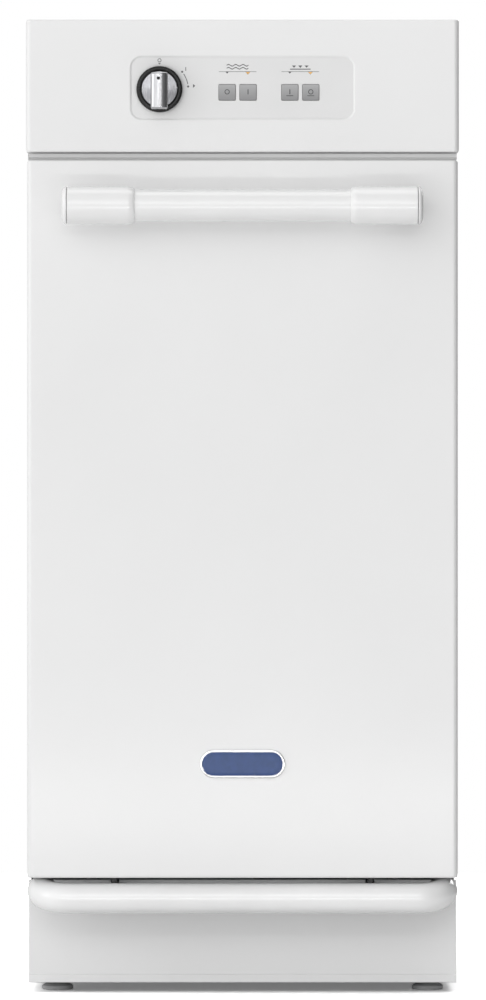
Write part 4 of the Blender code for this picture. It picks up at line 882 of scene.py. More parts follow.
line = half_line + [(-x, back, r) for x, back, r in reversed(half_line)]
places = [
    Vector((x, pedal_y + back * math.cos(PEDAL_SLOPE), pedal_z + back * math.sin(PEDAL_SLOPE)))
    for x, back, _ in line
]
level = Vector((0, -math.sin(PEDAL_SLOPE), math.cos(PEDAL_SLOPE)))
PEDAL_SIDES = 48
pedal_bm = bmesh.new()
rings = []
for i, (spot, (_, _, radius)) in enumerate(zip(places, line)):
    before, after = places[max(i - 1, 0)], places[min(i + 1, len(places) - 1)]
    ahead = (after - before).normalized()
    out = level.cross(ahead).normalized()
    turns = [2 * math.pi * k / PEDAL_SIDES for k in range(PEDAL_SIDES)]
    rings.append(
        [pedal_bm.verts.new(spot + radius * (math.cos(a) * level + math.sin(a) * out)) for a in turns]
    )
bridge(pedal_bm, zip(rings, rings[1:]))
pedal = shape("foot_pedal_bar", pedal_bm, dipped_white)
smooth(pedal, 60)
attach(pedal, "pedal")
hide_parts("foot_pedal")


# ---- Toe panel ----
# A kick plate of the same enamelled sheet, its lower edge hemmed back on itself for stiffness,
# with a slot for each pedal lever.
toe_low, toe_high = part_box("toe_panel")
ARM_SLOT_HALF = 0.00385
ARM_SWEEP = 0.0158  # how far below their shaft the levers reach as they pass the plate
HEM = 0.0075
toe_bm = block(toe_low, toe_high)
toe_edges = [e for e in toe_bm.edges if all(v.co.y < toe_low.y + 1e-6 for v in e.verts)]
bmesh.ops.bevel(toe_bm, geom=toe_edges, offset=0.0006, segments=3, profile=0.5, affect="EDGES")
toe = shape("toe_panel_plate", toe_bm, white_enamel)
hem_low = (toe_low.x, toe_low.y - 0.0007, toe_low.z)
hem_bm = block(hem_low, (toe_high.x, toe_low.y + 0.0004, toe_low.z + HEM))
hem_edges = [e for e in hem_bm.edges if all(v.co.y < toe_low.y - 0.0006 for v in e.verts)]
bmesh.ops.bevel(hem_bm, geom=hem_edges, offset=0.00065, segments=4, profile=0.5, affect="EDGES")
carve(toe, hem_bm, "UNION")
for hand in ("left", "right"):
    arm_x = middle("pedal_arm_" + hand).x
    slot_low = middle("pedal_shaft").z - ARM_SWEEP
    carve(
        toe,
        block(
            (arm_x - ARM_SLOT_HALF, toe_low.y - 0.003, slot_low),
            (arm_x + ARM_SLOT_HALF, toe_high.y + 0.003, toe_high.z + 0.003),
        ),
    )
smooth(toe)
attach(toe, "cabinet")
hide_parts("toe_panel")


# ---- Cabinet panels ----
# Painted sheet sides and lid, flanged at the front, with the channel behind the gap over the
# drawer. Every cut edge is hemmed or broken, so it shows a fine round when light catches it.
def softened(node, material, edge, segments=2):
    """A copy of a CAD node with its flat faces merged and its sharp edges broken."""
    bm = bmesh.new()
    bm.from_mesh(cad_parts[node].data)
    bmesh.ops.remove_doubles(bm, verts=bm.verts, dist=1e-6)
    bmesh.ops.dissolve_limit(bm, angle_limit=math.radians(2), verts=bm.verts, edges=bm.edges)
    mesh = bpy.data.meshes.new(node + "_made")
    bm.to_mesh(mesh)
    bm.free()
    mesh.materials.clear()
    mesh.materials.append(material)
    made = bpy.data.objects.new(node + "_made", mesh)
    bpy.context.scene.collection.objects.link(made)
    broken = made.modifiers.new("edge", "BEVEL")
    broken.width = edge
    broken.segments = segments
    broken.limit_method = "ANGLE"
    broken.angle_limit = math.radians(40)
    broken.use_clamp_overlap = True
    settle(made)
    return smooth(made, 50)


# A darker grey copy of the white enamel for the front rail's folded nose: painted shade under the console.
shaded_enamel = enamel("painted_shade_channel_enamel", "#d2d2d2", "#cbcbcb", 0.38)
NOSE_LIP = 0.0040  # how far the folded nose's lower edge reaches forward, to meet the drawer
NOSE_LEAN = 0.0130  # how much further back the nose stands at its top
for node in ("side_panel_left", "side_panel_right", "top_panel", "front_rail"):
    panel = softened(node, shaded_enamel if node == "front_rail" else white_enamel, 0.0004)
    if node == "front_rail":
        nose_y = min(vert.co.y for vert in panel.data.vertices)
        nose_z = [vert.co.z for vert in panel.data.vertices if vert.co.y < nose_y + 0.0006]
        for vert in panel.data.vertices:
            if vert.co.y < nose_y + 0.0006:
                rise = (vert.co.z - min(nose_z)) / (max(nose_z) - min(nose_z))
                vert.co.y += NOSE_LEAN * rise - NOSE_LIP
                vert.co.z -= 0.0004 * (1 - rise)
    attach(panel, "cabinet")
    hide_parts(node)


# ---- Rear panel, base and support ----
# Hot-dip galvanised sheet, left bare: a rear panel with two banks of slots, the pressed base
# with its turned-down walls, and the channel that ties the screws' tops together.
def galvanised(name, light, dark, spangle_mm, roughness):
    """Zinc coating: flat crystals of slightly different greys, with fine rolling scratches."""
    made, tree, shader, place = finish(name, {"Metallic": 0.85})
    spangle = add(tree, "ShaderNodeTexVoronoi", {"Vector": place, "Scale": 1000 / spangle_mm})
    grey = add(tree, "ShaderNodeSeparateColor", {"Color": spangle.outputs["Color"]})
    tone = coloured(tree, grey.outputs[0], [(0.0, dark), (1.0, light)])
    rolling = add(tree, "ShaderNodeMapping", {"Vector": place, "Scale": (1500, 1500, 90)})
    least, most = roughness - 0.06, roughness + 0.08
    lines = noise(tree, rolling, 1.0, 2.0)
    dress(tree, shader, tone, grey.outputs[1], least, most, lines, 0.15, 0.00003)
    return made


spangled = galvanised("galvanised_sheet", "#c2c5c8", "#a9adb1", 9.0, 0.42)
for node in ("rear_panel", "base_pan", "top_support", "drawer_inner_panel"):
    sheet_piece = softened(node, spangled, 0.0003)
    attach(sheet_piece, "drawer" if node == "drawer_inner_panel" else "cabinet")
    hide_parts(node)


# ---- Slot rims ----
# Each cooling slot in the rear panel is pierced and its edge rolled up into a low bead, which
# keeps the thin sheet stiff and fingers safe.
def geometry_tree(name, floats=(), whole=(), vectors=()):
    """A Geometry Nodes group with named inputs; returns it and its outputs by name."""
    tree = bpy.data.node_groups.new(name, "GeometryNodeTree")
    kinds = {"Geometry": "NodeSocketGeometry", "Material": "NodeSocketMaterial"}
    kinds |= {k: "NodeSocketFloat" for k in floats} | {k: "NodeSocketInt" for k in whole}
    kinds |= {k: "NodeSocketVector" for k in vectors}
    for label, kind in kinds.items():
        tree.interface.new_socket(label, in_out="INPUT", socket_type=kind)
    tree.interface.new_socket("Geometry", in_out="OUTPUT", socket_type="NodeSocketGeometry")
    return tree, add(tree, "NodeGroupInput", {}).outputs


def copies(tree, points, piece, **more):
    """Copies of a piece on points; Rotation and Scale may be given."""
    return add(tree, "GeometryNodeInstanceOnPoints", {"Points": points, "Instance": piece, **more})


def moved(tree, piece, **more):
    """A piece after a Translation or a Rotation."""
    return add(tree, "GeometryNodeTransform", {"Geometry": piece, **more})


def vector(tree, **parts):
    return add(tree, "ShaderNodeCombineXYZ", parts)


def close_tree(tree, given, geometry):
    """Ends a tree in plain geometry with the given material."""
    real = add(tree, "GeometryNodeRealizeInstances", {0: geometry})
    dressed = add(tree, "GeometryNodeSetMaterial", {"Geometry": real, "Material": given["Material"]})
    add(tree, "NodeGroupOutput", {0: dressed})
    return tree


def grown(name, tree, base, material, sizes):
    """Runs a tree on a base mesh with its named inputs set, and keeps the plain result."""
    made = bpy.data.objects.new(name, base)
    bpy.context.scene.collection.objects.link(made)
    step = made.modifiers.new(tree.name, "NODES")
    step.node_group = tree
    values = {"Material": material, **sizes}
    for item in tree.interface.items_tree:
        if item.in_out == "INPUT" and item.name in values:
            step[item.identifier] = values[item.name]
    return settle(made)


def points_mesh(name, spots, facing):
    """Bare points with the way that each one faces, for a tree to build on."""
    mesh = bpy.data.meshes.new(name)
    mesh.from_pydata(spots, [], [])
    ways_out = mesh.attributes.new("facing", "FLOAT_VECTOR", "POINT")
    for i, way in enumerate(facing):
        ways_out.data[i].vector = way
    return mesh


SLOT_WIDTH, SLOT_HEIGHT, SLOT_PITCH = 0.080, 0.004, 0.0085
_, rear_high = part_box("rear_panel")
fan_low, fan_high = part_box("fan_frame")
_, base_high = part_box("base_pan")
fan_z = (fan_low.z + fan_high.z) / 2
beads, given = geometry_tree("beaded_slots", ("Width", "Height", "Bead"))
loop = add(
    beads,
    "GeometryNodeCurvePrimitiveQuadrilateral",
    {"Width": given["Width"], "Height": given["Height"]},
)
half_high = add(beads, "ShaderNodeMath", {0: given["Height"], 1: 0.49}, operation="MULTIPLY")
round_end = add(
    beads,
    "GeometryNodeFilletCurve",
    {"Curve": loop, "Count": 6, "Radius": half_high},
    mode="POLY",
)
wire = add(beads, "GeometryNodeCurvePrimitiveCircle", {"Resolution": 8, "Radius": given["Bead"]})
ring = add(beads, "GeometryNodeCurveToMesh", {"Curve": round_end, "Profile Curve": wire})
upright = moved(beads, ring, Rotation=(math.pi / 2, 0, 0))
set_out = copies(beads, given["Geometry"], upright)
close_tree(beads, given, set_out)
FAN_SLOTS, MOTOR_SLOTS = 9, 7
slot_places = [(0, rear_high.y, fan_z + (i - (FAN_SLOTS - 1) / 2) * SLOT_PITCH) for i in range(FAN_SLOTS)]
slot_places += [(0, rear_high.y, base_high.z + 0.020 + i * SLOT_PITCH) for i in range(MOTOR_SLOTS)]
slot_points = points_mesh("slot_points", slot_places, [(0, 1, 0)] * len(slot_places))
rims = grown(
    "slot_rims",
    beads,
    slot_points,
    spangled,
    {"Width": SLOT_WIDTH + 0.0006, "Height": SLOT_HEIGHT + 0.0006, "Bead": 0.0005},
)
smooth(rims, 60)
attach(rims, "cabinet")


# ---- Fasteners ----
# Zinc-plated sheet-metal screws with washer heads and cross recesses hold the panels together:
# round the rear panel, up the side panels' rear edges, and round the drawer's inner panel.
screw_tree, given = geometry_tree("washer_head_screws", ("Head radius", "Head height"), ("Seed",))
head_r, head_h = given["Head radius"], given["Head height"]


def share(tree, value, factor):
    return add(tree, "ShaderNodeMath", {0: value, 1: factor}, operation="MULTIPLY").outputs[0]


washer = add(
    screw_tree,
    "GeometryNodeMeshCylinder",
    {"Vertices": 24, "Radius": share(screw_tree, head_r, 1.3), "Depth": share(screw_tree, head_h, 0.3)},
)
head = add(
    screw_tree,
    "GeometryNodeMeshCone",
    {"Vertices": 24, "Radius Top": share(screw_tree, head_r, 0.72), "Radius Bottom": head_r, "Depth": head_h},
)
recess = []
for turn in (0, 1):
    long_side, short_side = share(screw_tree, head_r, 1.15), share(screw_tree, head_r, 0.26)
    sides = {"X": (long_side, short_side)[turn], "Y": (short_side, long_side)[turn], "Z": head_h}
    size = add(screw_tree, "ShaderNodeCombineXYZ", sides)
    groove = add(screw_tree, "GeometryNodeMeshCube", {"Size": size})
    lift = vector(screw_tree, Z=share(screw_tree, head_h, 0.95))
    recess.append(moved(screw_tree, groove, Translation=lift))
raised = vector(screw_tree, Z=share(screw_tree, head_h, 0.5))
standing = moved(screw_tree, head, Translation=raised)
crossed = add(screw_tree, "GeometryNodeMeshBoolean", {"Mesh 1": standing}, operation="DIFFERENCE")
for cut_out in recess:
    screw_tree.links.new(cut_out.outputs[0], crossed.inputs["Mesh 2"])
whole = add(screw_tree, "GeometryNodeJoinGeometry", {})
for part_node in (washer, crossed):
    screw_tree.links.new(part_node.outputs[0], whole.inputs[0])
facing = add(screw_tree, "GeometryNodeInputNamedAttribute", {"Name": "facing"}, data_type="FLOAT_VECTOR")
aimed = add(
    screw_tree,
    "FunctionNodeAlignRotationToVector",
    {"Vector": facing.outputs["Attribute"]},
    axis="Z",
)
driven = copies(screw_tree, given["Geometry"], whole, Rotation=aimed)
any_turn = add(screw_tree, "FunctionNodeRandomValue", {"Seed": given["Seed"]}, data_type="FLOAT")
for socket, value in (("Min", 0.0), ("Max", math.pi)):
    [s for s in any_turn.inputs if s.name == socket and s.type == "VALUE"][0].default_value = value
spin = vector(screw_tree, Z=[s for s in any_turn.outputs if s.type == "VALUE"][0])
turned = add(screw_tree, "GeometryNodeRotateInstances", {"Instances": driven, "Rotation": spin})
close_tree(screw_tree, given, turned)

bright_zinc = brushed("bright_zinc_plate", "#c6c9cc", "#a9adb2", 0.34, "Y", 0.4, 9.0)
EDGE_IN = 0.007
SCREW_SIZES = {"Head radius": 0.0034, "Head height": 0.0014}
side_x = rear_high.x
_, cabinet_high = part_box("side_panel_right")
edge_x, top_z = side_x - EDGE_IN, cabinet_high.z - EDGE_IN
rear_heights, side_heights = (0.085, 0.24, 0.40, 0.56, 0.665, 0.83), (0.085, 0.33, 0.58, 0.83)
spots = [(x, rear_high.y, z) for z in rear_heights for x in (-edge_x, edge_x)]
spots += [(x, rear_high.y, top_z) for x in (-0.10, 0.0, 0.10)]
ways_out = [(0, 1, 0)] * len(spots)
side_places = [(cabinet_high.y - EDGE_IN, z) for z in side_heights]
side_places += [(y, 0.040) for y in (-0.12, 0.08, 0.24)]
spots += [(side * cabinet_high.x, y, z) for y, z in side_places for side in (-1, 1)]
ways_out += [(side, 0, 0) for _ in side_places for side in (-1, 1)]
screws = grown(
    "panel_screws",
    screw_tree,
    points_mesh("panel_screw_points", spots, ways_out),
    bright_zinc,
    {**SCREW_SIZES, "Seed": 4},
)
smooth(screws, 30)
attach(screws, "cabinet")

_, inner_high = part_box("drawer_inner_panel")
spots = [(x, inner_high.y, z) for x in (-0.165, 0.165) for z in (0.125, 0.27, 0.42, 0.57, 0.715)]
spots += [(side * 0.128, inner_high.y, HANDLE[1] + dz) for side in (-1, 1) for dz in (-0.006, 0.006)]
screws = grown(
    "drawer_screws",
    screw_tree,
    points_mesh("drawer_screw_points", spots, [(0, 1, 0)] * len(spots)),
    bright_zinc,
    {**SCREW_SIZES, "Seed": 9},
)
smooth(screws, 30)
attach(screws, "drawer")


# ---- Cord bush ----
# A black rubber grommet snapped into the rear panel, where the mains lead would enter.
rubber = moulded("black_rubber", "#1f1f20", "#181819", 0.72, 0.8, 0.4, {})
bush_low, bush_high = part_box("cord_gland")
BUSH = centre_of(bush_low, bush_high, "x", "z")
bush_radius = (bush_high.x - bush_low.x) / 2
bore_radius, neck_radius = 0.0045, bush_radius - 0.0028
bush_profile = [
    (bore_radius, bush_low.y + 0.0004),
    (bore_radius + 0.0006, bush_low.y),
    (bush_radius - 0.0006, bush_low.y),
    (bush_radius, bush_low.y + 0.0006),
    (bush_radius, bush_low.y + 0.0020),
    (neck_radius, bush_low.y + 0.0020),
    (neck_radius, bush_high.y),
    (bore_radius, bush_high.y),
]
bush_bm = bmesh.new()
rings = [[bush_bm.verts.new(placed("Y", p, y)) for p in circle(BUSH, r, 48)] for r, y in bush_profile]
bridge(bush_bm, zip(rings, rings[1:] + rings[:1]))
bush = shape("cord_bush", bush_bm, rubber)
smooth(bush, 50)
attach(bush, "cabinet")
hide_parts("cord_gland")


# ---- Levelling feet ----
# A zinc-plated stud with a rolled thread, moulded into a round grey nylon pad.
thread_sizes = ("Radius", "Turns", "Length", "Ridge", "Depth")
thread_tree, given = geometry_tree("rolled_thread", thread_sizes, ("Steps", "Starts"), ("Foot",))
helix = add(
    thread_tree,
    "GeometryNodeCurveSpiral",
    {
        "Resolution": given["Steps"],
        "Rotations": given["Turns"],
        "Start Radius": given["Radius"],
        "End Radius": given["Radius"],
        "Height": given["Length"],
    },
)
level_helix = add(thread_tree, "GeometryNodeSetCurveNormal", {"Curve": helix}, mode="Z_UP")
section = add(
    thread_tree,
    "GeometryNodeCurvePrimitiveQuadrilateral",
    {
        "Height": given["Ridge"],
        "Bottom Width": given["Depth"],
        "Top Width": share(thread_tree, given["Depth"], 0.45),
        "Offset": 0.0,
    },
    mode="TRAPEZOID",
)
ridge = add(
    thread_tree,
    "GeometryNodeCurveToMesh",
    {"Curve": level_helix, "Profile Curve": section, "Fill Caps": True},
)
start_points = add(thread_tree, "GeometryNodePoints", {"Count": given["Starts"]})
index = add(thread_tree, "GeometryNodeInputIndex", {})
starts = given["Starts"]
part_turn = add(thread_tree, "ShaderNodeMath", {0: index, 1: starts}, operation="DIVIDE")
turn_angle = add(thread_tree, "ShaderNodeMath", {0: part_turn, 1: 2 * math.pi}, operation="MULTIPLY")
turn_vector = vector(thread_tree, Z=turn_angle)
turn_rotation = add(thread_tree, "FunctionNodeEulerToRotation", {0: turn_vector})
many = copies(thread_tree, start_points, ridge, Rotation=turn_rotation)
at_foot = moved(thread_tree, many, Translation=given["Foot"])
close_tree(thread_tree, given, at_foot)

grey_nylon = moulded("grey_nylon", "#c2c3c4", "#b6b7b8", 0.55, 0.7, 0.3, {})
PAD_HEIGHT, STEM_RADIUS = 0.007, 0.005
FOOT_PITCH = 0.0015
for node in ("foot_front_left", "foot_front_right", "foot_rear_left", "foot_rear_right"):
    low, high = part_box(node)
    centre = centre_of(low, high, "x", "y")
    pad_radius = (high.x - low.x) / 2
    pad_profile = [
        (0.0, 0.0),
        (pad_radius - 0.0008, 0.0),
        (pad_radius, 0.0008),
        (pad_radius, 0.0034),
        (pad_radius - 0.0010, 0.0044),
        (pad_radius * 0.62, PAD_HEIGHT),
        (0.0, PAD_HEIGHT),
    ]
    pad = lathe(node + "_pad", "Z", centre, pad_profile, grey_nylon, 48)
    smooth(pad, 40)
    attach(pad, node)
    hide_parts(node)
    stem_profile = [
        (0.0, PAD_HEIGHT - 0.002),
        (STEM_RADIUS - 0.0007, PAD_HEIGHT - 0.002),
        (STEM_RADIUS - 0.0007, high.z - 0.0006),
        (STEM_RADIUS - 0.0014, high.z),
        (0.0, high.z),
    ]
    stem = lathe(node + "_stem", "Z", centre, stem_profile, bright_zinc, 24)
    smooth(stem, 50)
    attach(stem, node)
    thread_length = high.z - PAD_HEIGHT - 0.003
    thread = grown(
        node + "_thread",
        thread_tree,
        bpy.data.meshes.new(node + "_thread"),
        bright_zinc,
        {
            "Radius": STEM_RADIUS - 0.0005,
            "Turns": thread_length / FOOT_PITCH,
            "Length": thread_length,
            "Ridge": 0.0007,
            "Depth": 0.0009,
            "Foot": (*centre, PAD_HEIGHT + 0.001),
            "Steps": 14,
            "Starts": 1,
        },
    )
    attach(thread, node)


# ---- Drawer tub and bag ring ----
# A deep tub moulded in grey polypropylene with rounded corners, ribbed behind and on its floor.
# The black ring clips over its rim and pins the bag.
polypropylene = moulded("grey_polypropylene", "#b9bcbd", "#b0b3b4", 0.46, 0.9, 0.35, {})
tub_low, tub_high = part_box("drawer_tub")
TUB_WALL, TUB_CORNER = 0.0025, 0.010
tub_centre = centre_of(tub_low, tub_high, "x", "y")
tub_wide, tub_long = tub_high.x - tub_low.x, tub_high.y - tub_low.y


def tub_outline(grow):
    return rounded(tub_centre, tub_wide + 2 * grow, tub_long + 2 * grow, TUB_CORNER + grow, 8)


tub_levels = [
    (-0.0050, tub_low.z),
    (-0.0030, tub_low.z + 0.0005),
    (-0.0012, tub_low.z + 0.0018),
    (0.0, tub_low.z + 0.0050),
    (0.0, tub_high.z),
]
tub = shape("drawer_tub_moulding", stack("Z", tub_outline, tub_levels), polypropylene)
hollow = [
    (-TUB_WALL - 0.0045, tub_low.z + TUB_WALL),
    (-TUB_WALL - 0.0014, tub_low.z + TUB_WALL + 0.0010),
    (-TUB_WALL, tub_low.z + TUB_WALL + 0.0040),
    (-TUB_WALL, tub_high.z + 0.003),
]
carve(tub, stack("Z", tub_outline, hollow))
smooth(tub, 40)
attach(tub, "drawer")
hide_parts("drawer_tub")

rib_tree, given = geometry_tree("moulded_ribs", (), ("Count",), ("Start", "Step", "Size"))
row = add(
    rib_tree,
    "GeometryNodeMeshLine",
    {"Count": given["Count"], "Start Location": given["Start"], "Offset": given["Step"]},
    mode="OFFSET",
)
rib = add(rib_tree, "GeometryNodeMeshCube", {"Size": given["Size"]})
ribs_out = copies(rib_tree, row, rib)
close_tree(rib_tree, given, ribs_out)
rib_sets = {
    "tub_rear_ribs": (
        8,
        (tub_low.x + 0.020, tub_high.y + 0.0008, (tub_low.z + tub_high.z) / 2 - 0.006),
        ((tub_wide - 0.040) / 7, 0, 0),
        (0.003, 0.002, tub_high.z - tub_low.z - 0.060),
    ),
    "tub_floor_ribs": (
        6,
        (tub_low.x + 0.035, tub_centre[1], tub_low.z + TUB_WALL + 0.0003),
        ((tub_wide - 0.070) / 5, 0, 0),
        (0.0025, tub_long - 0.060, 0.0010),
    ),
}
for name, (count, start, step, size) in rib_sets.items():
    ribs = grown(
        name,
        rib_tree,
        bpy.data.meshes.new(name),
        polypropylene,
        {"Count": count, "Start": start, "Step": step, "Size": size},
    )
    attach(ribs, "drawer")

matt_black = moulded("matt_black_abs", "#232324", "#1c1c1d", 0.48, 0.8, 0.3, {})
for node, body in (("bag_ring", "drawer"), ("switch_housing", "cabinet"), ("fan_frame", "cabinet")):
    made = softened(node, matt_black, 0.0006, 3)
    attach(made, body)
    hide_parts(node)


# ---- Telescopic rails ----
# Roll-formed steel in bright zinc: one length bolted to the base, one that floats, and one on
# the tub, nested inside each other on each side.
RAIL_BODIES = (("outer_rail_", "cabinet"), ("middle_rail_", None), ("inner_rail_", "drawer"))
for hand in ("left", "right"):
    for stem_name, body in RAIL_BODIES:
        rail = softened(stem_name + hand, bright_zinc, 0.0003)
        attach(rail, body or stem_name + hand)
        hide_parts(stem_name + hand)


# ---- Pedal levers, shaft and return spring ----
# Black-enamelled steel levers turn on a plated shaft between two ears of the base. A wound wire
# spring round the shaft lifts the pedal again.
black_enamel = enamel("black_stove_enamel", "#161617", "#101011", 0.42)
for hand in ("left", "right"):
    lever = softened("pedal_arm_" + hand, black_enamel, 0.0004)
    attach(lever, "pedal")
    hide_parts("pedal_arm_" + hand)
shaft_low, shaft_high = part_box("pedal_shaft")
SHAFT = centre_of(shaft_low, shaft_high, "y", "z")
shaft_radius = (shaft_high.z - shaft_low.z) / 2
shaft_profile = [(shaft_radius - 0.0006, shaft_low.x), (shaft_radius, shaft_low.x + 0.0006)]
for clip_x in (shaft_low.x + 0.0020, shaft_high.x - 0.0028):
    shaft_profile += [(shaft_radius, clip_x), (shaft_radius + 0.0018, clip_x)]
    shaft_profile += [(shaft_radius + 0.0018, clip_x + 0.0008), (shaft_radius, clip_x + 0.0008)]
shaft_profile += [(shaft_radius, shaft_high.x - 0.0006), (shaft_radius - 0.0006, shaft_high.x)]
shaft = lathe("pedal_shaft_pin", "X", SHAFT, shaft_profile, bright_zinc, 32)
smooth(shaft, 40)
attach(shaft, "cabinet")
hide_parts("pedal_shaft")

coil_tree, given = geometry_tree("wound_spring", ("Radius", "Turns", "Length", "Wire"), (), ("Place",))
coil = add(
    coil_tree,
    "GeometryNodeCurveSpiral",
    {
        "Resolution": 24,
        "Rotations": given["Turns"],
        "Start Radius": given["Radius"],
        "End Radius": given["Radius"],
        "Height": given["Length"],
    },
)
wire_size = {"Resolution": 10, "Radius": given["Wire"]}
wire = add(coil_tree, "GeometryNodeCurvePrimitiveCircle", wire_size)
wound = add(coil_tree, "GeometryNodeCurveToMesh", {"Curve": coil, "Profile Curve": wire, "Fill Caps": True})
lying = moved(coil_tree, wound, Rotation=(0, math.pi / 2, 0), Translation=given["Place"])
close_tree(coil_tree, given, lying)
spring_low, spring_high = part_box("pedal_spring")
WIRE = 0.0011
spring = grown(
    "pedal_spring_coil",
    coil_tree,
    bpy.data.meshes.new("pedal_spring_coil"),
    bright_zinc,
    {
        "Radius": 0.0061,
        "Turns": 12.0,
        "Length": spring_high.x - spring_low.x - 2 * WIRE,
        "Wire": WIRE,
        "Place": (spring_low.x + WIRE, *SHAFT),
    },
)
leg_profile = [(WIRE, spring_low.z), (WIRE, SHAFT[1])]
leg_centre = (spring_high.x - WIRE, SHAFT[0] + 0.0061)
leg_bm = stack("Z", lambda r: circle(leg_centre, r, 10), leg_profile)
leg = shape("pedal_spring_leg", leg_bm, bright_zinc)
for made in (spring, leg):
    smooth(made, 50)
    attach(made, "cabinet")
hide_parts("pedal_spring")


# ---- Power screws ----
# Two-start rolled screws in plated steel, 10 mm of travel to a turn, with a chain sprocket
# pinned on below the base and nylon bushes to run in.
natural_nylon = moulded("natural_nylon", "#e3dfd0", "#dad6c6", 0.40, 0.9, 0.2, {})
THREAD_DEPTH, LEAD, STARTS = 0.0016, 0.010, 2
SCREW_RADIUS = 0.010
TEETH, SPROCKET_TIP, SPROCKET_ROOT = 14, 0.0186, 0.0150
sprocket_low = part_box("power_screw_left")[0].z + 0.0015
SPROCKET_THICKNESS = 0.0070


def sprocket(centre, grow):
    """A toothed outline: a round seat for each roller between two blunt teeth."""
    points = []
    per_tooth = 8
    for i in range(TEETH * per_tooth):
        phase = (i % per_tooth) / per_tooth
        wave = 0.5 + 0.5 * math.cos(2 * math.pi * phase)
        lift = min(1.0, wave * 1.35)
        radius = SPROCKET_ROOT + (SPROCKET_TIP - SPROCKET_ROOT) * lift + grow
        a = 2 * math.pi * i / (TEETH * per_tooth)
        points.append((centre[0] + radius * math.cos(a), centre[1] + radius * math.sin(a)))
    return points


for hand in ("left", "right"):
    node = "power_screw_" + hand
    low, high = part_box(node)
    centre = centre_of(low, high, "x", "y")
    thread_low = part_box("screw_bush_" + hand)[1].z + CLEAR
    thread_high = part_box("top_support")[0].z - 0.0045
    core = SCREW_RADIUS - THREAD_DEPTH
    profile = [
        (0.0, low.z),
        (SCREW_RADIUS - 0.0026, low.z),
        (SCREW_RADIUS - 0.0020, low.z + 0.0006),
        (SCREW_RADIUS - 0.0020, thread_low),
        (core, thread_low),
        (core, thread_high),
        (SCREW_RADIUS - 0.0030, thread_high),
        (SCREW_RADIUS - 0.0030, high.z - 0.0006),
        (SCREW_RADIUS - 0.0036, high.z),
        (0.0, high.z),
    ]
    screw = lathe(node + "_core", "Z", centre, profile, bright_zinc, 48)
    teeth = [
        (-0.0006, sprocket_low),
        (0.0, sprocket_low + 0.0006),
        (0.0, sprocket_low + SPROCKET_THICKNESS - 0.0006),
        (-0.0006, sprocket_low + SPROCKET_THICKNESS),
    ]
    carve(screw, stack("Z", lambda grow: sprocket(centre, grow), teeth), "UNION")
    smooth(screw, 35)
    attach(screw, node)
    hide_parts(node)
    run = thread_high - thread_low - 0.003
    thread = grown(
        node + "_thread",
        thread_tree,
        bpy.data.meshes.new(node + "_thread"),
        bright_zinc,
        {
            "Radius": SCREW_RADIUS - THREAD_DEPTH / 2 - 0.0001,
            "Turns": run / LEAD,
            "Length": run,
            "Ridge": 0.0022,
            "Depth": THREAD_DEPTH,
            "Foot": (*centre, thread_low + 0.0015),
            "Steps": 20,
            "Starts": STARTS,
        },
    )
    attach(thread, node)
wear(natural_nylon, "screw_bush_left", "screw_bush_right")


# ---- Ram ----
# A welded box in grey hammered enamel hangs from a channel-shaped crosshead. Flanged nylon nuts
# under its ends carry it on the screws.
hammered, tree, shader, place = finish("grey_hammered_enamel", {"Roughness": 0.34, "IOR": 1.5})
dimple = add(tree, "ShaderNodeTexVoronoi", {"Vector": place, "Scale": 320.0}, feature="SMOOTH_F1")
hammer_tone = coloured(tree, dimple.outputs["Distance"], [(0.1, "#8e9193"), (0.6, "#a5a8aa")])
hammer_skin = relieved(tree, dimple.outputs["Distance"], 0.35, 0.0003)
feed(tree, shader, {"Base Color": hammer_tone.outputs[0], "Normal": hammer_skin})
for node in ("ram_head", "ram_crosshead"):
    made = softened(node, hammered, 0.0008, 3)
    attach(made, "ram")
    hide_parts(node)
wear(natural_nylon, "ram_nut_left", "ram_nut_right")


# ---- Drive ----
# A split-phase motor in dark grey stove enamel drives a moulded nylon gear through a steel
# pinion, and a roller chain takes the turn to both screws.
wear(natural_nylon, "drive_gear")
wear(bright_zinc, "motor_pinion")
stove_enamel = enamel("dark_grey_stove_enamel", "#4a4d50", "#414447", 0.40)
motor_low, motor_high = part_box("drive_motor")
pinion_low, pinion_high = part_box("motor_pinion")
MOTOR = centre_of(pinion_low, pinion_high, "x", "y")
MOTOR_RADIUS = MOTOR[0] - motor_low.x
motor_bore = 0.0044
bore_top = pinion_high.z + CLEAR
LAMINATIONS, FIN = 18, 0.0012
stack_low, stack_high = motor_low.z + 0.020, motor_high.z - 0.030
motor_profile = [(0.0, bore_top), (motor_bore, bore_top), (motor_bore, motor_low.z)]
motor_profile += [(MOTOR_RADIUS - 0.0015, motor_low.z), (MOTOR_RADIUS, motor_low.z + 0.0015)]
motor_profile.append((MOTOR_RADIUS, stack_low))
for i in range(LAMINATIONS):
    z = stack_low + (stack_high - stack_low) * i / LAMINATIONS
    tall = (stack_high - stack_low) / LAMINATIONS
    motor_profile += [(MOTOR_RADIUS - FIN, z + tall * 0.1), (MOTOR_RADIUS - FIN, z + tall * 0.45)]
    motor_profile += [(MOTOR_RADIUS, z + tall * 0.55), (MOTOR_RADIUS, z + tall)]
motor_profile += [
    (MOTOR_RADIUS, motor_high.z - 0.018),
    (MOTOR_RADIUS - 0.0016, motor_high.z - 0.011),
    (MOTOR_RADIUS - 0.0050, motor_high.z - 0.006),
    (MOTOR_RADIUS - 0.0120, motor_high.z - 0.001),
    (MOTOR_RADIUS - 0.0160, motor_high.z),
    (0.0, motor_high.z),
]
motor = lathe("drive_motor_can", "Z", MOTOR, motor_profile, stove_enamel, 72)
terminal_bm = block(
    (MOTOR[0] + MOTOR_RADIUS - 0.006, MOTOR[1] - 0.016, motor_low.z + 0.015),
    (motor_high.x, MOTOR[1] + 0.016, motor_low.z + 0.060),
)
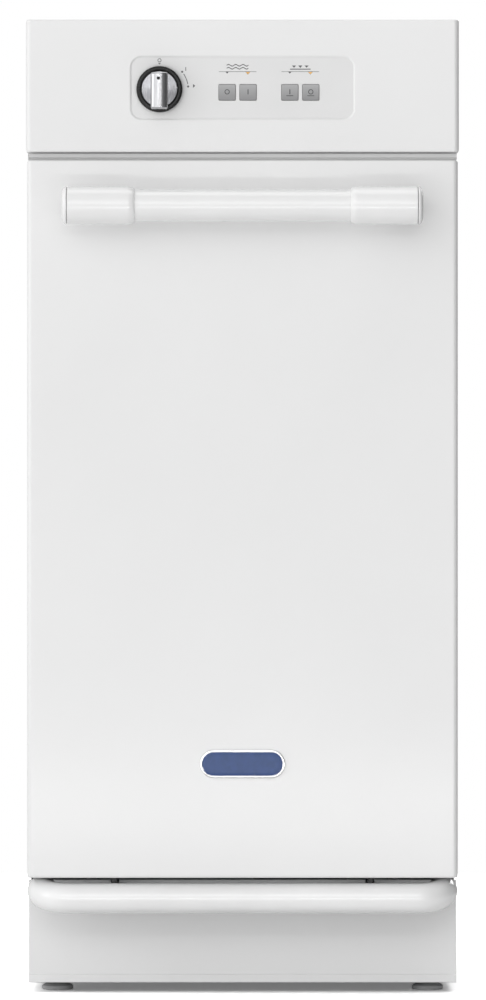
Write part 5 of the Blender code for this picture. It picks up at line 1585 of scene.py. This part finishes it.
bmesh.ops.bevel(terminal_bm, geom=terminal_bm.edges[:], offset=0.002, segments=3, profile=0.5, affect="EDGES")
carve(motor, terminal_bm, "UNION")
smooth(motor, 30)
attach(motor, "cabinet")
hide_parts("drive_motor")
bolt_ring = MOTOR_RADIUS - 0.011
spots = [
    (MOTOR[0] + bolt_ring * math.cos(a), MOTOR[1] + bolt_ring * math.sin(a), motor_high.z - 0.0016)
    for a in (math.pi / 4 + math.pi / 2 * k for k in range(4))
]
bolts = grown(
    "motor_bolts",
    screw_tree,
    points_mesh("motor_bolt_points", spots, [(0, 0, 1)] * 4),
    bright_zinc,
    {"Head radius": 0.0032, "Head height": 0.0022, "Seed": 2},
)
smooth(bolts, 30)
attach(bolts, "cabinet")

black_oxide = brushed("black_oxide_steel", "#4a4a4c", "#363638", 0.40, "Z", 0.5, 6.0)
chain_tree, given = geometry_tree("roller_chain", ("Pitch", "Plate height", "Width"), ("Links",))
path = add(chain_tree, "GeometryNodeMeshToCurve", {"Mesh": given["Geometry"]})
spaced = add(chain_tree, "GeometryNodeResampleCurve", {"Curve": path, "Count": given["Links"]})
along = add(chain_tree, "GeometryNodeInputTangent", {})
link_turn = add(chain_tree, "FunctionNodeAlignRotationToVector", {"Vector": along.outputs[0]}, axis="X")
plate_h, pitch, chain_w = (given[k] for k in ("Plate height", "Pitch", "Width"))
bits = []
plate_long = share(chain_tree, pitch, 1.45)
plate_thick = share(chain_tree, chain_w, 0.14)
plate_size = vector(chain_tree, X=plate_long, Y=plate_h, Z=plate_thick)
for lift in (0.43, -0.43):
    plate_node = add(chain_tree, "GeometryNodeMeshCube", {"Size": plate_size})
    up = vector(chain_tree, Z=share(chain_tree, chain_w, lift))
    bits.append(moved(chain_tree, plate_node, Translation=up))
for end in (0.5, -0.5):
    roller = add(
        chain_tree,
        "GeometryNodeMeshCylinder",
        {"Vertices": 12, "Radius": share(chain_tree, plate_h, 0.36), "Depth": chain_w},
    )
    shift = vector(chain_tree, X=share(chain_tree, pitch, end))
    bits.append(moved(chain_tree, roller, Translation=shift))
link = add(chain_tree, "GeometryNodeJoinGeometry", {})
for bit in bits:
    chain_tree.links.new(bit.outputs[0], link.inputs[0])
odd = add(
    chain_tree,
    "ShaderNodeMath",
    {0: add(chain_tree, "GeometryNodeInputIndex", {}), 1: 2.0},
    operation="MODULO",
)
narrow = add(chain_tree, "ShaderNodeMapRange", {0: odd, 1: 0.0, 2: 1.0, 3: 1.0, 4: 0.72})
link_size = vector(chain_tree, X=1.0, Y=1.0, Z=narrow)
links_out = copies(chain_tree, spaced, link, Rotation=link_turn, Scale=link_size)
close_tree(chain_tree, given, links_out)

chain_low, chain_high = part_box("drive_chain")
gear_low, gear_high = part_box("drive_gear")
GEAR = centre_of(gear_low, gear_high, "x", "y")
chain_z = (chain_low.z + chain_high.z) / 2
sprockets = []
for hand in ("left", "right"):
    low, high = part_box("power_screw_" + hand)
    sprockets.append(centre_of(low, high, "x", "y"))
sprockets.append(GEAR)
BAND = chain_high.x - sprockets[1][0]
CHAIN_HEIGHT = 0.006
chain_radius = BAND - CHAIN_HEIGHT / 2
loop_points = []
for i, centre in enumerate(sprockets):
    before, after = Vector(sprockets[i - 1]), Vector(sprockets[(i + 1) % 3])
    arrive, leave = Vector(centre) - before, after - Vector(centre)
    start = math.atan2(arrive.y, arrive.x) - math.pi / 2
    sweep = (math.atan2(leave.y, leave.x) - math.pi / 2 - start) % (2 * math.pi)
    for step in range(17):
        a = start + sweep * step / 16
        loop_points.append(
            (centre[0] + chain_radius * math.cos(a), centre[1] + chain_radius * math.sin(a), chain_z)
        )
loop_mesh = bpy.data.meshes.new("chain_path")
loop_mesh.from_pydata(loop_points, [(i, (i + 1) % len(loop_points)) for i in range(len(loop_points))], [])
loop_length = sum(
    (Vector(a) - Vector(b)).length for a, b in zip(loop_points, loop_points[1:] + loop_points[:1])
)
CHAIN_PITCH = 0.00794
LINKS = 2 * round(loop_length / CHAIN_PITCH / 2)
chain = grown(
    "drive_chain_links",
    chain_tree,
    loop_mesh,
    black_oxide,
    {
        "Links": LINKS,
        "Pitch": loop_length / LINKS,
        "Plate height": CHAIN_HEIGHT - 0.0004,
        "Width": chain_high.z - chain_low.z,
    },
)
smooth(chain, 30)
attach(chain, "cabinet")
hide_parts("drive_chain")


# ---- Odour filter ----
# A square axial fan on the rear panel draws air through a cassette of granular charcoal held
# behind a moulded grid.
wear(matt_black, "fan_rotor")
granules, tree, shader, place = finish("granular_charcoal", {"Roughness": 0.85})
grain = add(tree, "ShaderNodeTexVoronoi", {"Vector": place, "Scale": 420.0})
# Painted shade: each granule is lighter at its domed middle and darker towards the gaps between granules.
granule_gap_shade_tone = coloured(tree, grain.outputs["Distance"], [(0.0, "#3a3a3b"), (0.7, "#121212")])
grain_skin = relieved(tree, grain.outputs["Distance"], 0.9, 0.0012, invert=True)
feed(tree, shader, {"Base Color": granule_gap_shade_tone.outputs[0], "Normal": grain_skin})
wear(granules, "charcoal_filter")
filter_low, filter_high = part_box("charcoal_filter")
GRID_BARS = 9
bar_step = (filter_high.x - filter_low.x - 0.004) / (GRID_BARS - 1)
middle_filter = (filter_low + filter_high) / 2
grid_sets = {
    "filter_grid_upright": (
        (filter_low.x + 0.002, filter_low.y - 0.0006, middle_filter.z),
        (bar_step, 0, 0),
        (0.0016, 0.0022, filter_high.z - filter_low.z),
    ),
    "filter_grid_level": (
        (middle_filter.x, filter_low.y - 0.0004, filter_low.z + 0.002),
        (0, 0, bar_step),
        (filter_high.x - filter_low.x, 0.0022, 0.0016),
    ),
}
for name, (start, step, size) in grid_sets.items():
    grid = grown(
        name,
        rib_tree,
        bpy.data.meshes.new(name),
        matt_black,
        {"Count": GRID_BARS, "Start": start, "Step": step, "Size": size},
    )
    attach(grid, "cabinet")
